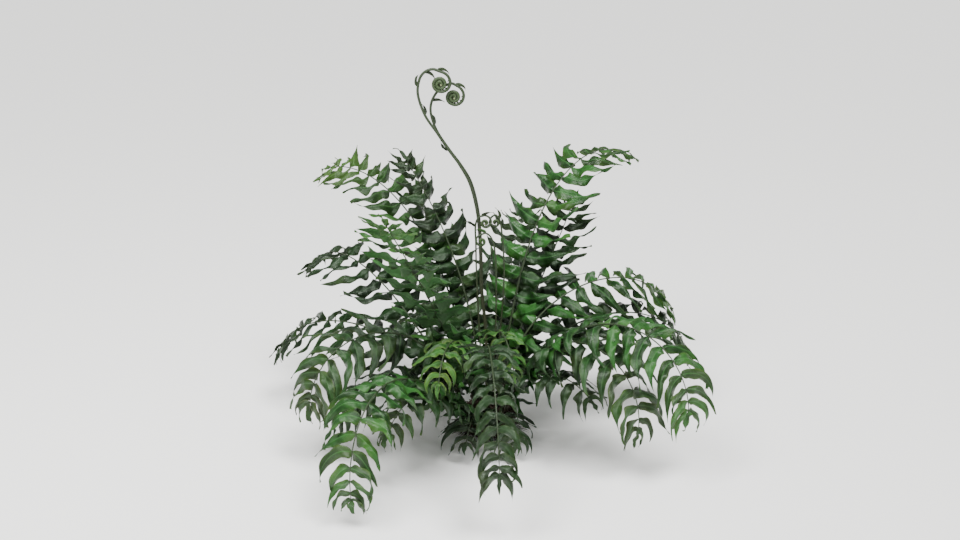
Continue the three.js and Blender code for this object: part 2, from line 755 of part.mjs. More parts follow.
function stubSkin(index) {
  const turn = (2 * Math.PI * (index + 0.3 * dice(index + 40))) / oldStubCount;
  const lean = vector(Math.cos(turn), Math.sin(turn), oldStubRise).normalize();
  const depth = 0.6 * crownRadius;
  const root = vector(depth * Math.cos(turn), depth * Math.sin(turn), oldStubHeight);
  const end = root.clone().addScaledVector(lean, oldStubLength * lerp(0.92, 1.08, dice(index + 60)));
  const across = vector(-Math.sin(turn), Math.cos(turn), 0);
  const above = across.clone().cross(lean).negate();
  const ringAt = (place, radius) => {
    const ring = [];
    for (let j = 0; j < 6; j += 1) {
      const angle = (Math.PI * j) / 3;
      ring.push(place.clone()
        .addScaledVector(across, radius * Math.cos(angle))
        .addScaledVector(above, radius * Math.sin(angle)));
    }
    return ring;
  };
  const skin = new Skin();
  const inner = ringAt(root, oldStubRadius);
  const outer = ringAt(end, 0.7 * oldStubRadius);
  skin.startCap(inner);
  skin.band(inner, outer);
  skin.endCap(outer);
  return skin;
}

// The room that a stipe or stalk takes inside the crown, with the gap round it.
function socketSkin(rings) {
  const skin = new Skin();
  skin.startCap(rings[0]);
  for (let i = 0; i + 1 < rings.length; i += 1) {
    skin.band(rings[i], rings[i + 1]);
  }
  skin.endCap(rings.at(-1));
  return skin;
}

function meshOf(name, geometry, tone, roughness) {
  const material = new THREE.MeshStandardMaterial({ color: tones[tone], roughness, metalness: 0 });
  const mesh = new THREE.Mesh(geometry, material);
  mesh.name = name;
  return mesh;
}

const fern = new THREE.Group();
fern.name = "sword_fern";

const thicket = new Thicket();
const walks = Object.entries(fronds).map(([name, frond], i) => {
  const stops = walkFrond(frond);
  return { name, frond, seed: i + 1, stops, spots: leafletPlaces(frond) };
});
for (const { name, frond, stops, spots } of walks) {
  placeRachis(thicket, name, frond, stops, spots);
}

const crozierSkins = Object.entries(croziers).map(([name, crozier]) => {
  const { skin, route } = crozierSkin(crozier);
  let solid = skin.solid();
  for (const [share, side] of crozier.buds) {
    solid = solid.add(budSkin(crozier, route, share, side).solid());
  }
  return { name, crozier, route, solid };
});
for (const { name, solid } of crozierSkins) {
  const whole = new Skin();
  whole.corners = Array.from(geometryOf(solid).getAttribute("position").array);
  thicket.add(whole, name, 0);
}

let crown = crownSolid();
for (let i = 0; i < oldStubCount; i += 1) {
  crown = crown.add(stubSkin(i).solid());
}
const crownShell = new Skin();
crownShell.corners = Array.from(geometryOf(crown).getAttribute("position").array);
thicket.add(crownShell, "crown", 0);

for (const { name, frond, seed, stops, spots } of walks) {
  const leaves = new Map();
  for (const spot of spots) {
    const isMiddle = spot.way > longLeafletsFrom && spot.way < longLeafletsTo;
    const isLong = isMiddle && frond.tone !== "young";
    for (const side of [1, -1]) {
      for (const bend of bends()) {
        const leaf = leafletOf(frond, seed, stops, spot, side, bend);
        const envelope = leafletEnvelope(leaf, isLong);
        if (thicket.isClear(envelope, name, spot.index)) {
          thicket.add(envelope, name, side > 0 ? spot.index : spot.index + 0.001);
          leaves.set(`${spot.index} ${side}`, { leaf, isLong });
          break;
        }
      }
    }
  }
  fern.add(meshOf(name, frondSkin(frond, stops, spots, leaves).geometry(), frond.tone, 0.45));
  const rings = [0, socketedLength / frond.length].map((share) => {
    const half = rachisHalfWidth(share) + socketGap;
    const stop = stopAt(frond, stops, share);
    if (share === 0) {
      stop.place.addScaledVector(stop.along, -socketGap);
    }
    return rachisRing(stop, half, half);
  });
  crown = crown.subtract(socketSkin(rings).solid());
}

for (const { name, crozier, route, solid } of crozierSkins) {
  fern.add(meshOf(name, geometryOf(solid), crozier.tone, 0.5));
  const half = crozier.stalk + 2 * socketGap;
  const foot = route[0].place.clone().add(vector(0, 0, -socketGap));
  const rim = route[1].place;
  const rings = [foot, rim].map((place) =>
    [[1, 1], [-1, 1], [-1, -1], [1, -1]].map(([x, y]) =>
      place.clone().add(vector(x * half, y * half, 0)),
    ),
  );
  crown = crown.subtract(socketSkin(rings).solid());
}
fern.add(meshOf("crown", geometryOf(crown), "crown", 0.9));

export default fern;
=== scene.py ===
# The looks of a western sword fern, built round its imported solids.
# Lengths are in millimetres until a mesh is made, which is in metres, +Z up. The camera side is -Y.
import math
from collections import namedtuple

import bpy
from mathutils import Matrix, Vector
from mathutils.kdtree import KDTree


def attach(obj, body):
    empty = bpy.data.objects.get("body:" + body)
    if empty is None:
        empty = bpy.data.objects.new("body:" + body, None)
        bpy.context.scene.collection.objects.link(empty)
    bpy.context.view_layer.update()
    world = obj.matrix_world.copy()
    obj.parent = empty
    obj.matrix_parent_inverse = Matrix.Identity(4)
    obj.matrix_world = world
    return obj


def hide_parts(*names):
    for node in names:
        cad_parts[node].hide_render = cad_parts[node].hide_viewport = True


bl_info = {
    "name": "Sword Fern",
    "version": (1, 0, 0),
    "blender": (4, 5, 0),
    "location": "View3D > Sidebar > Fern",
    "description": "Builds a sword fern with its fronds, croziers and scaly crown",
    "category": "Add Mesh",
}

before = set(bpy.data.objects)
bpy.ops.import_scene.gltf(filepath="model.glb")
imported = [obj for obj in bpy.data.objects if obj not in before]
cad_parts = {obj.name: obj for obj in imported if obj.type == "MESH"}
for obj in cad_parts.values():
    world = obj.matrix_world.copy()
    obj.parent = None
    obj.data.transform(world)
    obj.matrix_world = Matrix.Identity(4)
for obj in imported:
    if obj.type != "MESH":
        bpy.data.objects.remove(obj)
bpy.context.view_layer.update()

MM = 0.001

# The turn from one scale or root to the next, so that they spread evenly
SPIRAL_TURN = math.radians(137.5)

# Crown, as in the part's source
CROWN_RADIUS = 54
CROWN_HEIGHT = 64
CROWN_DROP = 0.55
CROWN_FOOT_RADIUS = 48
CROWN_BELLY_HEIGHT = 15.5
SOCKET_DEPTH = 22

# Rachis, as in the part's source. The fine one is a little slimmer.
STIPE_HALF_WIDTH = 3.3
RACHIS_TIP_HALF_WIDTH = 0.9
RACHIS_TAPER_POWER = 0.8
RACHIS_SLIMMER = 0.92
WALK_STEPS = 60
STEM_SIDES = 10

# Leaflets, as in the part's source
LEAFLET_SPACING_FADE = 1.3
LEAFLET_LAST_PLACE = 0.965
LEAFLET_WIDTH_SHARE = 0.28
LEAFLET_WIDTH_OF_GAP = 0.8
LONGEST_LEAFLET_AT = 0.34
ROOT_LEAFLET_TAPER = 0.26
TIP_TAPER_POWER = 2.6
LEAST_LENGTH = 0.92
MOST_LENGTH = 1.08
ASCENT_AT_ROOT = 8
ASCENT_GAIN = 16
ASCENT_SPREAD = 10
LEAFLET_LIFT = 0.16
LIFT_SPREAD = 0.3
APEX_PULL = 0.45
UNDER_PULL = 0.25
LEAST_CURL = 1.15
CURL_SPREAD = 0.7
MOST_CURL = 1.5
TWIST_SPREAD = 0.9
EDGE_WAVE = 0.3
EDGE_WAVES = 1.25
DRAWS_A_FROND = 1000
DRAWS_A_PAIR = 20
DRAWS_A_SIDE = 10

# The sizes, lifts and leans that keep a leaflet clear of its neighbours, the most natural ones first
BEND_SIZES = (1, 0.85, 0.7, 0.55, 0.4, 0.28)
BEND_LIFTS = (0, 0.25, -0.25, 0.5, -0.5, 0.75)
BEND_LEANS = (0, 0.25, -0.25)

# The slim leaflet that ends a frond
END_LEAFLET_START = 0.97
END_LEAFLET_AIM = 0.985
END_LEAFLET_SHARE = 0.28
END_LEAFLET_HALF_WIDTH = 0.06
END_LEAFLET_CURL = 0.25
END_LEAFLET_TWIST = 0.2

# A leaflet's tip lies this close to a corner of its solid, where the solid has that leaflet
TIP_MATCH = 0.03

# The fine leaflets are wider than their solids at the frond's foot, slimmer at its tip and slimmer
# where the frond hangs. They are a little longer, and twist and curl more loosely.
WIDTH_AT_FOOT = 1.36
WIDTH_AT_TIP = 0.92
HANGING_SLIMMER = 0.34
LONGER = 1.07
TWIST_AT_FOOT = 1.4
TWIST_AT_TIP = 2.4
LOOSE_CURL = 0.3

# A blade's outline: it swells from the root, thins to the tip and ends in a slim tail
SWELL = 3.2
SWELL_ROOT_POWER = 0.55
SWELL_TIP_POWER = 1.4
TAIL = 0.1
TAIL_POWER = 0.6
LEAST_HALF_WIDTH = 0.3
LOBE_WAVES = 2.4
LOBE_SKEW = 0.17
EAR_PLACE = 0.09
EAR_SPREAD = 0.055
EAR_SHARPNESS = 3
SICKLE_BIAS = 0.6

# A blade's relief: how it folds, ruffles and billows, which fades out at both ends, and how its tip flicks
FOLD_SPREAD = 0.5
RUFFLE_WAVES = 2.3
RUFFLE_SKEW = 0.21
BILLOW_WAVES = 1.2
FADE_IN = 5
FADE_OUT_POWER = 0.7
FLICK_FROM = 0.62
FLICK_POWER = 2.0
FLICK_BIAS = 0.4
GROOVE_SHARPNESS = 3
EDGE_THINNER = 0.5
TIP_THINNER = 1.1

# Small leaves have fewer points and no teeth, lobes, groove, ear or billow
SMALL_LEAF = {
    "Points along": 9, "Points across": 3, "Tooth depth": 0.0, "Lobe depth": 0.0, "Rib depth": 0.0,
    "Ear size": 0.0, "Billow": 0.0,
}

# Papery scales. Pairs of numbers are the least and the most of what is drawn for each scale.
CROWN_SCALES = 260
CROWN_SCALES_TO = 0.97
CROWN_SCALE_LENGTHS = (11, 19)
CROWN_SCALE_STAND = (0.7, 1.2)
CROWN_SCALE_OUT = 0.5
CROWN_SCALE_TILT = 0.1
FLANK_SCALES = 240
FLANK_HEIGHTS = (3, 30)
FLANK_SCALE_LENGTHS = (13, 23)
FLANK_SCALE_STAND = (0.35, 0.85)
STIPE_SCALES = 16
STIPE_SCALES_FROM = 0.03
STIPE_SCALES_TO = 0.9
STIPE_SCALE_SPACING_POWER = 1.2
STIPE_SCALE_LENGTHS = (12, 5)
STIPE_SCALE_STAND = (0.25, 0.75)
STIPE_SCALE_SEAT = 0.7
SCALE_SEAT = 1
SCALE_SLIMNESS = 0.16
SCALE_CURLS = (0.3, 1.2)
SCALE_TWIST_SPREAD = 1.4

# The wiry roots round the crown's foot
CROWN_ROOTS = 110
ROOT_HEIGHTS = (6, 13)
ROOT_LENGTHS = (18, 42)
ROOT_FAN = 1.2
ROOT_SEAT = 2
ROOT_DROP = 1.7
ROOT_CLEARANCE = 2
ROOT_MOST_CURL = 1.2
ROOT_HALF_WIDTH = 0.9

# Croziers, as in the part's source, with a slimmer foot and a stouter stalk and coil
SPIRAL_ENTRY_SHARE = 0.2
SPIRAL_EYE_SHARE = 0.15
STALK_FOOT_SWELL = 0.85
STALK_SWELL = 1.22
COIL_SWELL = 1.4
COIL_SWELL_HASTE = 3
STEPS_A_POINT = 6
STEPS_A_TURN = 36

# The small folded leaves of a stalk. Those near its coil droop.
BUD_LENGTH = 27
BUD_HALF_WIDTH = 2.6
BUD_OUT = 0.62
BUD_ALONG = 0.78
BUD_CURL = 1.2
BUD_TWIST_SPREAD = 1.6
DROOPING_BUDS_FROM = 0.75
BUD_DROOP = 1.3

# The rolled leaflets of a coil, with their sizes as shares of the stalk's radius
COIL_LEAF_FIRST = 6
COIL_LEAF_STRIDE = 3
COIL_LEAF_OUT = 0.75
COIL_LEAF_INWARD = 0.45
COIL_LEAF_ALONG = 0.4
COIL_LEAF_CURL = 1.2
COIL_LEAF_LENGTH = 2.1
COIL_LEAF_HALF_WIDTH = 0.55
COIL_LEAF_TINTS = (0.2, 0.6)

# Patterns of the finishes: how fine each noise is, and the detail and stretch of the fibres
MOTTLE_SCALE = 55
PATCH_SCALE = 14
CRUMPLE_SCALE = 130
SPECKLE_SCALE = 420
STREAK_SCALE = 90
FIBRE_SCALE = 420
FIBRE_DETAIL = 5
FIBRE_NOISE_ROUGHNESS = 0.7
FIBRE_STRETCH = (1, 1, 0.25)
NOISE_MIDDLE = 0.5

# A leaflet's colour: how strongly each of its marks shows, and where some of them start
MOTTLE_CONTRAST = 2.4
TINT_SPREAD = 1.2
TINT_OFFSET = 0.08
# Painted shade, darker on one half of each blade and on its foot by the rachis
PAINTED_SHADE_HALF = 0.5
PAINTED_SHADE_HALF_TO = 0.6
PAINTED_SHADE_FOOT = 0.4
PAINTED_SHADE_FOOT_TO = 0.2
PATCHES = 0.35
PATCH_FROM = 0.56
PATCH_CONTRAST = 3
OLD_TIP_FROM = 0.75
RIM_CONTRAST = 2.2
RIM_OFFSET = 1.3
DRY_TIP = 1.5
DRY_TIP_FROM = 0.86
RIB = 0.55
RIB_SPREAD = 0.075
RIB_FADE = 0.6
RIB_PALER = 1.9
RIB_LEAST = 0.02
UNDERSIDE = 0.4
UNDERSIDE_PALER = 1.1
UNDERSIDE_LEAST = 0.008
SIDE_VEINS = 30
VEIN_SLANT = 5.5

# A leaflet's gloss and fine relief
MOTTLE_ROUGHNESS = 0.2
UNDERSIDE_ROUGHNESS = 0.25
LEAF_SPECULAR = 0.42
LEAF_SPECULAR_TINT = (0.84, 1, 0.8, 1)
VEIN_RELIEF = 0.4
MOTTLE_RELIEF = 1.1
RIB_RELIEF = 1.2
CRUMPLE_RELIEF = 2.2

# A stem's finish: it turns green up from its foot, its flecks fade on the way, and its coil turns pale
STEM_GREENING = 4.5
STREAKS = 0.3
SPECKLE_FROM = 0.55
SPECKLE_CONTRAST = 9
SPECKLES_TO = 0.75
COIL_GREENING = 2
COIL_GREEN_SHARE = 0.75
COIL_EYE_CONTRAST = 18
STEM_ROUGHNESS = 0.42
STREAK_ROUGHNESS = 0.2
STREAK_RELIEF = 0.5

# Dry fibres
FIBRE_CONTRAST = 1.6
FIBRE_OFFSET = 0.35
FIBRE_DARKEST = 0.3
FIBRE_ROUGHNESS = 0.85

# The strength of each finish's bumps, and their height in millimetres
LEAF_BUMP = (0.6, 0.9)
STEM_BUMP = (0.6, 0.8)
FIBRE_BUMP = (0.8, 1.2)

# Camera and lights: places in metres, angles in degrees
CAMERA_PLACE = (-0.0147, -2.5394, 1.2253)
CAMERA_PITCH = 19
CAMERA_LENS = 50
CAMERA_SENSOR = 36
MAIN_LIGHT_PLACE = (-0.9, -1.2, 2.6)
MAIN_LIGHT_SIDE = 1.2
SUN_PLACE = (0.8, -0.9, 3)
SUN_ANGLE = 24
LIGHT_AIM = (0, 0, 0.35)
FLOOR_ROUGHNESS = 0.9

# Fronds: where each leaves the crown, how it climbs, arches and turns, and the size of its leaflets.
# azimuth, rise, droop, sweep and roll are in degrees. droop bends the rachis down towards its tip, and
# the higher its power, the later. bare is the share of the rachis below the leaflets, hang is how far
# gravity pulls them down, and taper is how much they shrink to the tip.
# tone picks a frond's green. deep, mid and bright are one green with painted shade, in between and with
# painted light; fresh and young are the fronds' own greens.
Frond = namedtuple(
    "Frond", "seat azimuth rise droop power hang length leaflet pairs bare sweep roll taper tone",
    defaults=(0, 0, 0.6, "deep"))
FRONDS = {
    "frond_back_left_tall": Frond(
        seat=22, azimuth=120, rise=89, droop=40, power=0.75, sweep=28, roll=-8, hang=0.2,
        length=568, leaflet=94, pairs=16, bare=0.14, taper=0.45),
    "frond_back_left_long": Frond(
        seat=32, azimuth=142, rise=79, droop=103, power=1.95, sweep=-6, roll=24, hang=0.2,
        length=732, leaflet=94, pairs=18, bare=0.14, taper=0.55, tone="fresh"),
    "frond_left_near_tall": Frond(
        seat=22, azimuth=223, rise=75, droop=26, power=0.6, sweep=22, hang=0.25,
        length=585, leaflet=98, pairs=17, bare=0.12, taper=0.5, tone="bright"),
    "frond_left_mid": Frond(
        seat=36, azimuth=162, rise=57, droop=108, power=2.5, sweep=-38, roll=20, hang=0.4,
        length=600, leaflet=98, pairs=15, bare=0.15, taper=0.5),
    "frond_left_low_near": Frond(
        seat=38, azimuth=195, rise=73, droop=165, power=1.7, sweep=28, roll=20, hang=0.5,
        length=552, leaflet=112, pairs=15, bare=0.12, taper=0.5, tone="mid"),
    "frond_left_low_far": Frond(
        seat=38, azimuth=176, rise=60, droop=118, power=1.4, sweep=-30, roll=20, hang=0.7,
        length=556, leaflet=108, pairs=15, bare=0.14),
    "frond_left_short": Frond(
        seat=40, azimuth=207, rise=62, droop=130, power=1.5, roll=10, hang=0.7,
        length=380, leaflet=88, pairs=9, bare=0.2, taper=0.5),
    "frond_front_left": Frond(
        seat=40, azimuth=226, rise=47, droop=166, power=2.3, sweep=34, roll=6, hang=0.4,
        length=645, leaflet=94, pairs=17, bare=0.1, taper=0.55, tone="bright"),
    "frond_front_left_short": Frond(
        seat=38, azimuth=240, rise=48, droop=117, power=2.5, sweep=-7, hang=0.6,
        length=384, leaflet=90, pairs=10, bare=0.16, tone="mid"),
    "frond_front_low_left": Frond(
        seat=40, azimuth=256, rise=62, droop=124, power=1.3, hang=0.8,
        length=170, leaflet=72, pairs=7, bare=0.2),
    "frond_front": Frond(
        seat=32, azimuth=268, rise=76, droop=166, power=1.45, sweep=9, hang=0.4,
        length=672, leaflet=64, pairs=19, bare=0.12, taper=0.1),
    "frond_front_low_right": Frond(
        seat=40, azimuth=288, rise=62, droop=124, power=1.3, hang=0.8,
        length=170, leaflet=72, pairs=7, bare=0.2),
    "frond_front_right_short": Frond(
        seat=38, azimuth=316, rise=78, droop=118, power=1.3, hang=0.8,
        length=330, leaflet=92, pairs=9, bare=0.18, taper=0.5),
    "frond_front_right": Frond(
        seat=38, azimuth=332, rise=77, droop=182, power=1.6, sweep=-24, roll=-10, hang=0.8,
        length=555, leaflet=108, pairs=13, bare=0.14, taper=0.55, tone="mid"),
    "frond_right_low": Frond(
        seat=30, azimuth=342, rise=64, droop=160, power=1.95, sweep=-34, roll=-15, hang=0.8,
        length=640, leaflet=108, pairs=16, bare=0.11, taper=0.45, tone="bright"),
    "frond_right_mid": Frond(
        seat=38, azimuth=0, rise=83, droop=150, power=1.1, sweep=32, roll=-25, hang=0.4,
        length=590, leaflet=100, pairs=15, bare=0.13, taper=0.5),
    "frond_right_high": Frond(
        seat=30, azimuth=8, rise=87, droop=142, power=1.35, sweep=20, roll=-20, hang=0.7,
        length=575, leaflet=112, pairs=15, bare=0.15, taper=0.45, tone="bright"),
    "frond_back_right_low": Frond(
        seat=22, azimuth=31, rise=83, droop=45, power=0.65, sweep=34, hang=0.15,
        length=496, leaflet=90, pairs=14, bare=0.15),
    "frond_back_right_tall": Frond(
        seat=32, azimuth=53, rise=76, droop=111, power=3.0, sweep=-12, hang=0.25,
        length=730, leaflet=96, pairs=19, bare=0.1, taper=0.5, tone="bright"),
    "frond_back_tall": Frond(
        seat=22, azimuth=74, rise=67, droop=26, power=0.6, sweep=4, hang=0.25,
        length=460, leaflet=88, pairs=13, bare=0.16),
    "frond_back_right_arched": Frond(
        seat=40, azimuth=82, rise=54, droop=124, power=1.7, sweep=-12, hang=0.5,
        length=490, leaflet=88, pairs=10, bare=0.22, tone="mid"),
    "frond_back_left_arched": Frond(
        seat=40, azimuth=112, rise=50, droop=116, power=1.7, sweep=10, hang=0.5,
        length=490, leaflet=88, pairs=10, bare=0.22, tone="mid"),
    "frond_young_left": Frond(
        seat=20, azimuth=244, rise=67, droop=144, power=2.7, sweep=16, hang=0.6,
        length=438, leaflet=64, pairs=9, bare=0.42, tone="young"),
    "frond_young_right": Frond(
        seat=20, azimuth=276, rise=92, droop=178, power=2.0, sweep=12, hang=0.6,
        length=410, leaflet=50, pairs=7, bare=0.48, tone="young"),
}

# Croziers: each stalk passes through its points, then winds inwards round the centre of its coil.
# stalk and coil are the radii of those two. buds are the ways along the stalk of its small leaves,
# with the side that each is on.
Crozier = namedtuple("Crozier", "points centre coil clockwise turns stalk tone buds")
CROZIERS = {
    "crozier_tall_front": Crozier(
        points=(
            (-1, -2, 42), (-2, 4, 120), (-4, 10, 216), (-13, 13, 303), (-15, 14, 389), (-20, 14, 462),
            (-34, 14, 524), (-55, 14, 565), (-76, 14, 595), (-99, 14, 630), (-122, 14, 665),
            (-135, 14, 705), (-132, 14, 734), (-122, 14, 749), (-106, 14, 755), (-90, 14, 750),
        ),
        centre=(-92, 14, 726), coil=14.5, clockwise=True, turns=2.4, stalk=2.4, tone="stalk",
        buds=((0.56, -1), (0.69, 1), (0.79, -1), (0.9, 1), (0.985, -1))),
    "crozier_tall_back": Crozier(
        points=(
            (1, 10, 42), (0, 16, 120), (-2, 22, 216), (-10, 25, 303), (-12, 26, 389), (-17, 26, 462),
            (-31, 26, 524), (-52, 26, 562), (-74, 26, 592), (-97, 26, 627), (-109, 26, 657),
            (-111, 26, 680), (-104, 26, 700), (-90, 26, 716), (-71, 26, 725), (-57, 26, 719),
        ),
        centre=(-66, 26, 698), coil=14, clockwise=True, turns=2.4, stalk=2.3, tone="stalk",
        buds=((0.66, 1), (0.8, 1), (0.985, -1))),
    "crozier_small_left": Crozier(
        points=(
            (-8, -8, 42), (-12, -4, 140), (-18, 0, 260), (-22, 2, 350), (-23, 2, 405), (-24, 2, 442),
            (-18, 2, 460), (-6, 2, 465),
        ),
        centre=(-4, 2, 449), coil=10, clockwise=True, turns=1.6, stalk=1.7, tone="stalk",
        buds=((0.8, -1), (0.97, -1))),
    "crozier_small_middle": Crozier(
        points=(
            (8, -8, 42), (12, -10, 130), (17, -12, 230), (18, -12, 320), (16, -12, 385), (10, -12, 418),
            (-2, -12, 432), (-15, -12, 428),
        ),
        centre=(-12, -12, 415), coil=9.5, clockwise=False, turns=1.5, stalk=1.6, tone="young",
        buds=((0.9, 1),)),
    "crozier_small_right": Crozier(
        points=(
            (12, 4, 42), (18, 6, 130), (28, 8, 230), (34, 9, 330), (32, 9, 395), (28, 9, 436), (24, 9, 455),
            (17, 9, 464),
        ),
        centre=(16, 9, 448), coil=9.5, clockwise=False, turns=1.5, stalk=1.6, tone="stalk",
        buds=((0.75, 1), (0.95, 1))),
}


def dice(number):
    """A repeatable draw between 0 and 1, the same as in the part's source."""
    wave = math.sin(number * 12.9898) * 43758.5453
    return wave - math.floor(wave)


def swing(number):
    """A repeatable draw between -0.5 and 0.5."""
    return dice(number) - 0.5


def lerp(start, end, way):
    return start + (end - start) * way


def square_to(reach, direction):
    """The part of a direction that is square to the reach."""
    return direction - reach * direction.dot(reach)


def outwards(turn):
    """The level direction away from the crown's axis, and the one round it."""
    out = Vector((math.cos(turn), math.sin(turn), 0))
    return out, Vector((-out.y, out.x, 0))


def crown_top(radius):
    """The height of the crown's domed top at a distance from its axis."""
    return CROWN_HEIGHT * (1 - CROWN_DROP * (radius / CROWN_RADIUS) ** 2)


# A stem is a line of joints. coil is 0 along its stalk and rises to 1 at the eye of its coil.
Joint = namedtuple("Joint", "place radius coil")


# Walking along a frond

Stop = namedtuple("Stop", "share place along left up")


def frond_axes(frond, share):
    """The rachis's direction, its left side and its upper side."""
    climb = math.radians(frond.rise - frond.droop * share ** frond.power)
    heading = math.radians(frond.azimuth + frond.sweep * share)
    roll = math.radians(frond.roll * share)
    along = Vector((
        math.cos(climb) * math.cos(heading),
        math.cos(climb) * math.sin(heading),
        math.sin(climb),
    ))
    flat_left = outwards(heading)[1]
    flat_up = along.cross(flat_left)
    up = flat_up * math.cos(roll) + flat_left * math.sin(roll)
    left = flat_left * math.cos(roll) - flat_up * math.sin(roll)
    return along, left, up


def walk_frond(frond):
    """The places of the rachis at equal steps, from inside the crown to the tip."""
    place = outwards(math.radians(frond.azimuth))[0] * frond.seat
    place.z = crown_top(frond.seat) - SOCKET_DEPTH
    places = [place.copy()]
    for step in range(WALK_STEPS):
        along, _, _ = frond_axes(frond, (step + 0.5) / WALK_STEPS)
        place = place + along * (frond.length / WALK_STEPS)
        places.append(place)
    return places


def stop_at(frond, places, share):
    step = min(share * WALK_STEPS, WALK_STEPS - 1e-6)
    before = int(step)
    place = places[before].lerp(places[before + 1], step - before)
    return Stop(share, place, *frond_axes(frond, share))


def rachis_half_width(share):
    return lerp(STIPE_HALF_WIDTH, RACHIS_TIP_HALF_WIDTH, share ** RACHIS_TAPER_POWER)


# Leaflets

Spot = namedtuple("Spot", "index way share")
Bend = namedtuple("Bend", "size lift lean")
Leaf = namedtuple(
    "Leaf", "root reach pull lead curl wave length half_width twist side share tint",
    defaults=(0, 1, 0, 0))


def leaflet_spots(frond):
    """The places of the pairs of leaflets, closer together towards the tip."""
    for index in range(frond.pairs):
        way = index / (frond.pairs - 1)
        spread = 1 - (1 - way) ** LEAFLET_SPACING_FADE
        yield Spot(index, way, lerp(frond.bare, LEAFLET_LAST_PLACE, spread))


def leaflet_length_share(way, taper):
    """Leaflets are longest a third of the way along the blade and shrink to its tip."""
    if way < LONGEST_LEAFLET_AT:
        return 1 - ROOT_LEAFLET_TAPER * (1 - way / LONGEST_LEAFLET_AT) ** 2
    past = (way - LONGEST_LEAFLET_AT) / (1 - LONGEST_LEAFLET_AT)
    return 1 - taper * past ** TIP_TAPER_POWER


def bends():
    """Each way that a leaflet may be bent clear of its neighbours, from the most natural one on."""
    for size in BEND_SIZES:
        for lift in BEND_LIFTS:
            for lean in BEND_LEANS:
                yield Bend(size, lift, lean)


def leaflet_of(frond, seed, places, spot, side, bend):
    """The size, direction and curl of one leaflet, by the same rule as its solid."""
    draw = DRAWS_A_FROND * seed + DRAWS_A_PAIR * spot.index + (0 if side > 0 else DRAWS_A_SIDE)
    stop = stop_at(frond, places, spot.share)
    gap = frond.length * (LEAFLET_LAST_PLACE - frond.bare) / frond.pairs
    natural = leaflet_length_share(spot.way, frond.taper) * lerp(LEAST_LENGTH, MOST_LENGTH, dice(draw))
    length = frond.leaflet * natural * bend.size
    half_width = 0.5 * min(length * LEAFLET_WIDTH_SHARE, gap * LEAFLET_WIDTH_OF_GAP)
    ascent = math.radians(ASCENT_AT_ROOT + ASCENT_GAIN * spot.way ** 2 + ASCENT_SPREAD * swing(draw + 1))
    lift = LEAFLET_LIFT + LIFT_SPREAD * swing(draw + 2) + bend.lift
    lean = math.sin(ascent) + bend.lean
    reach = (stop.left * (side * math.cos(ascent)) + stop.along * lean + stop.up * lift).normalized()
    droop = Vector((0, 0, -frond.hang)) + stop.along * APEX_PULL - stop.up * UNDER_PULL
    pull = square_to(reach, droop)
    curl = min(MOST_CURL, pull.length * (LEAST_CURL + CURL_SPREAD * dice(draw + 3)))
    return Leaf(
        root=stop.place, reach=reach, pull=pull.normalized(),
        lead=square_to(reach, stop.along).normalized(), curl=curl, wave=dice(draw + 5),
        length=length, half_width=half_width, twist=TWIST_SPREAD * swing(draw + 4), side=side,
        share=spot.share, tint=dice(draw + 6))


def leaflet_tip(leaf):
    run = math.sin(leaf.curl) / leaf.curl
    drop = (1 - math.cos(leaf.curl)) / leaf.curl
    return leaf.root + (leaf.reach * run + leaf.pull * drop) * leaf.length


def end_leaflet(frond, seed, places):
    """The slim leaflet that carries on the rachis at the tip of the frond."""
    stop = stop_at(frond, places, END_LEAFLET_START)
    end = stop_at(frond, places, END_LEAFLET_AIM)
    length = (1 - END_LEAFLET_START) * frond.length + END_LEAFLET_SHARE * frond.leaflet
    return Leaf(
        root=stop.place, reach=end.along, pull=-end.up, lead=end.left, curl=END_LEAFLET_CURL,
        wave=dice(seed), length=length, half_width=END_LEAFLET_HALF_WIDTH * frond.leaflet,
        twist=END_LEAFLET_TWIST, share=1, tint=dice(seed + 7))


def loosened(leaf, frond, way):
    """The fine leaflet that follows a leaflet of the solid."""
    wider = lerp(WIDTH_AT_FOOT, WIDTH_AT_TIP, way) * (1 - HANGING_SLIMMER * frond.hang)
    looser = lerp(TWIST_AT_FOOT, TWIST_AT_TIP, way) * swing(leaf.wave * 99)
    return leaf._replace(
        length=leaf.length * LONGER, half_width=leaf.half_width * wider, twist=leaf.twist + looser,
        curl=leaf.curl * (1 + LOOSE_CURL * swing(leaf.wave * 55)))


def solid_corners(node):
    """The corners of a CAD node's solid, in metres, ready to be searched."""
    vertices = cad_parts[node].data.vertices
    corners = KDTree(len(vertices))
    for index, vertex in enumerate(vertices):
        corners.insert(vertex.co, index)
    corners.balance()
    return corners


def frond_leaves(name, seed, places):
    """The leaflets that the frond's solid has, each with the bend that keeps it clear there."""
    frond = FRONDS[name]
    corners = solid_corners(name)
    leaves = []
    for spot in leaflet_spots(frond):
        for side in (1, -1):
            for bend in bends():
                leaf = leaflet_of(frond, seed, places, spot, side, bend)
                if corners.find(leaflet_tip(leaf) * MM)[2] < TIP_MATCH * MM:
                    leaves.append(loosened(leaf, frond, spot.way))
                    break
    leaves.append(end_leaflet(frond, seed, places))
    return leaves


# Croziers

def smooth_place(points, way):
    """A place on the smooth curve through the points, at a way from 0 to 1."""
    spans = len(points) - 1
    span = min(int(way * spans), spans - 1)
    part = way * spans - span
    start, end = points[span], points[span + 1]
    before = points[span - 1] if span > 0 else start * 2 - end
    after = points[span + 2] if span + 2 < len(points) else end * 2 - start
    leaving = (end - before) * 0.5
    arriving = (after - start) * 0.5
    bend = start * 2 - end * 2 + leaving + arriving
    ease = end * 3 - start * 3 - leaving * 2 - arriving
    return start + leaving * part + ease * part ** 2 + bend * part ** 3


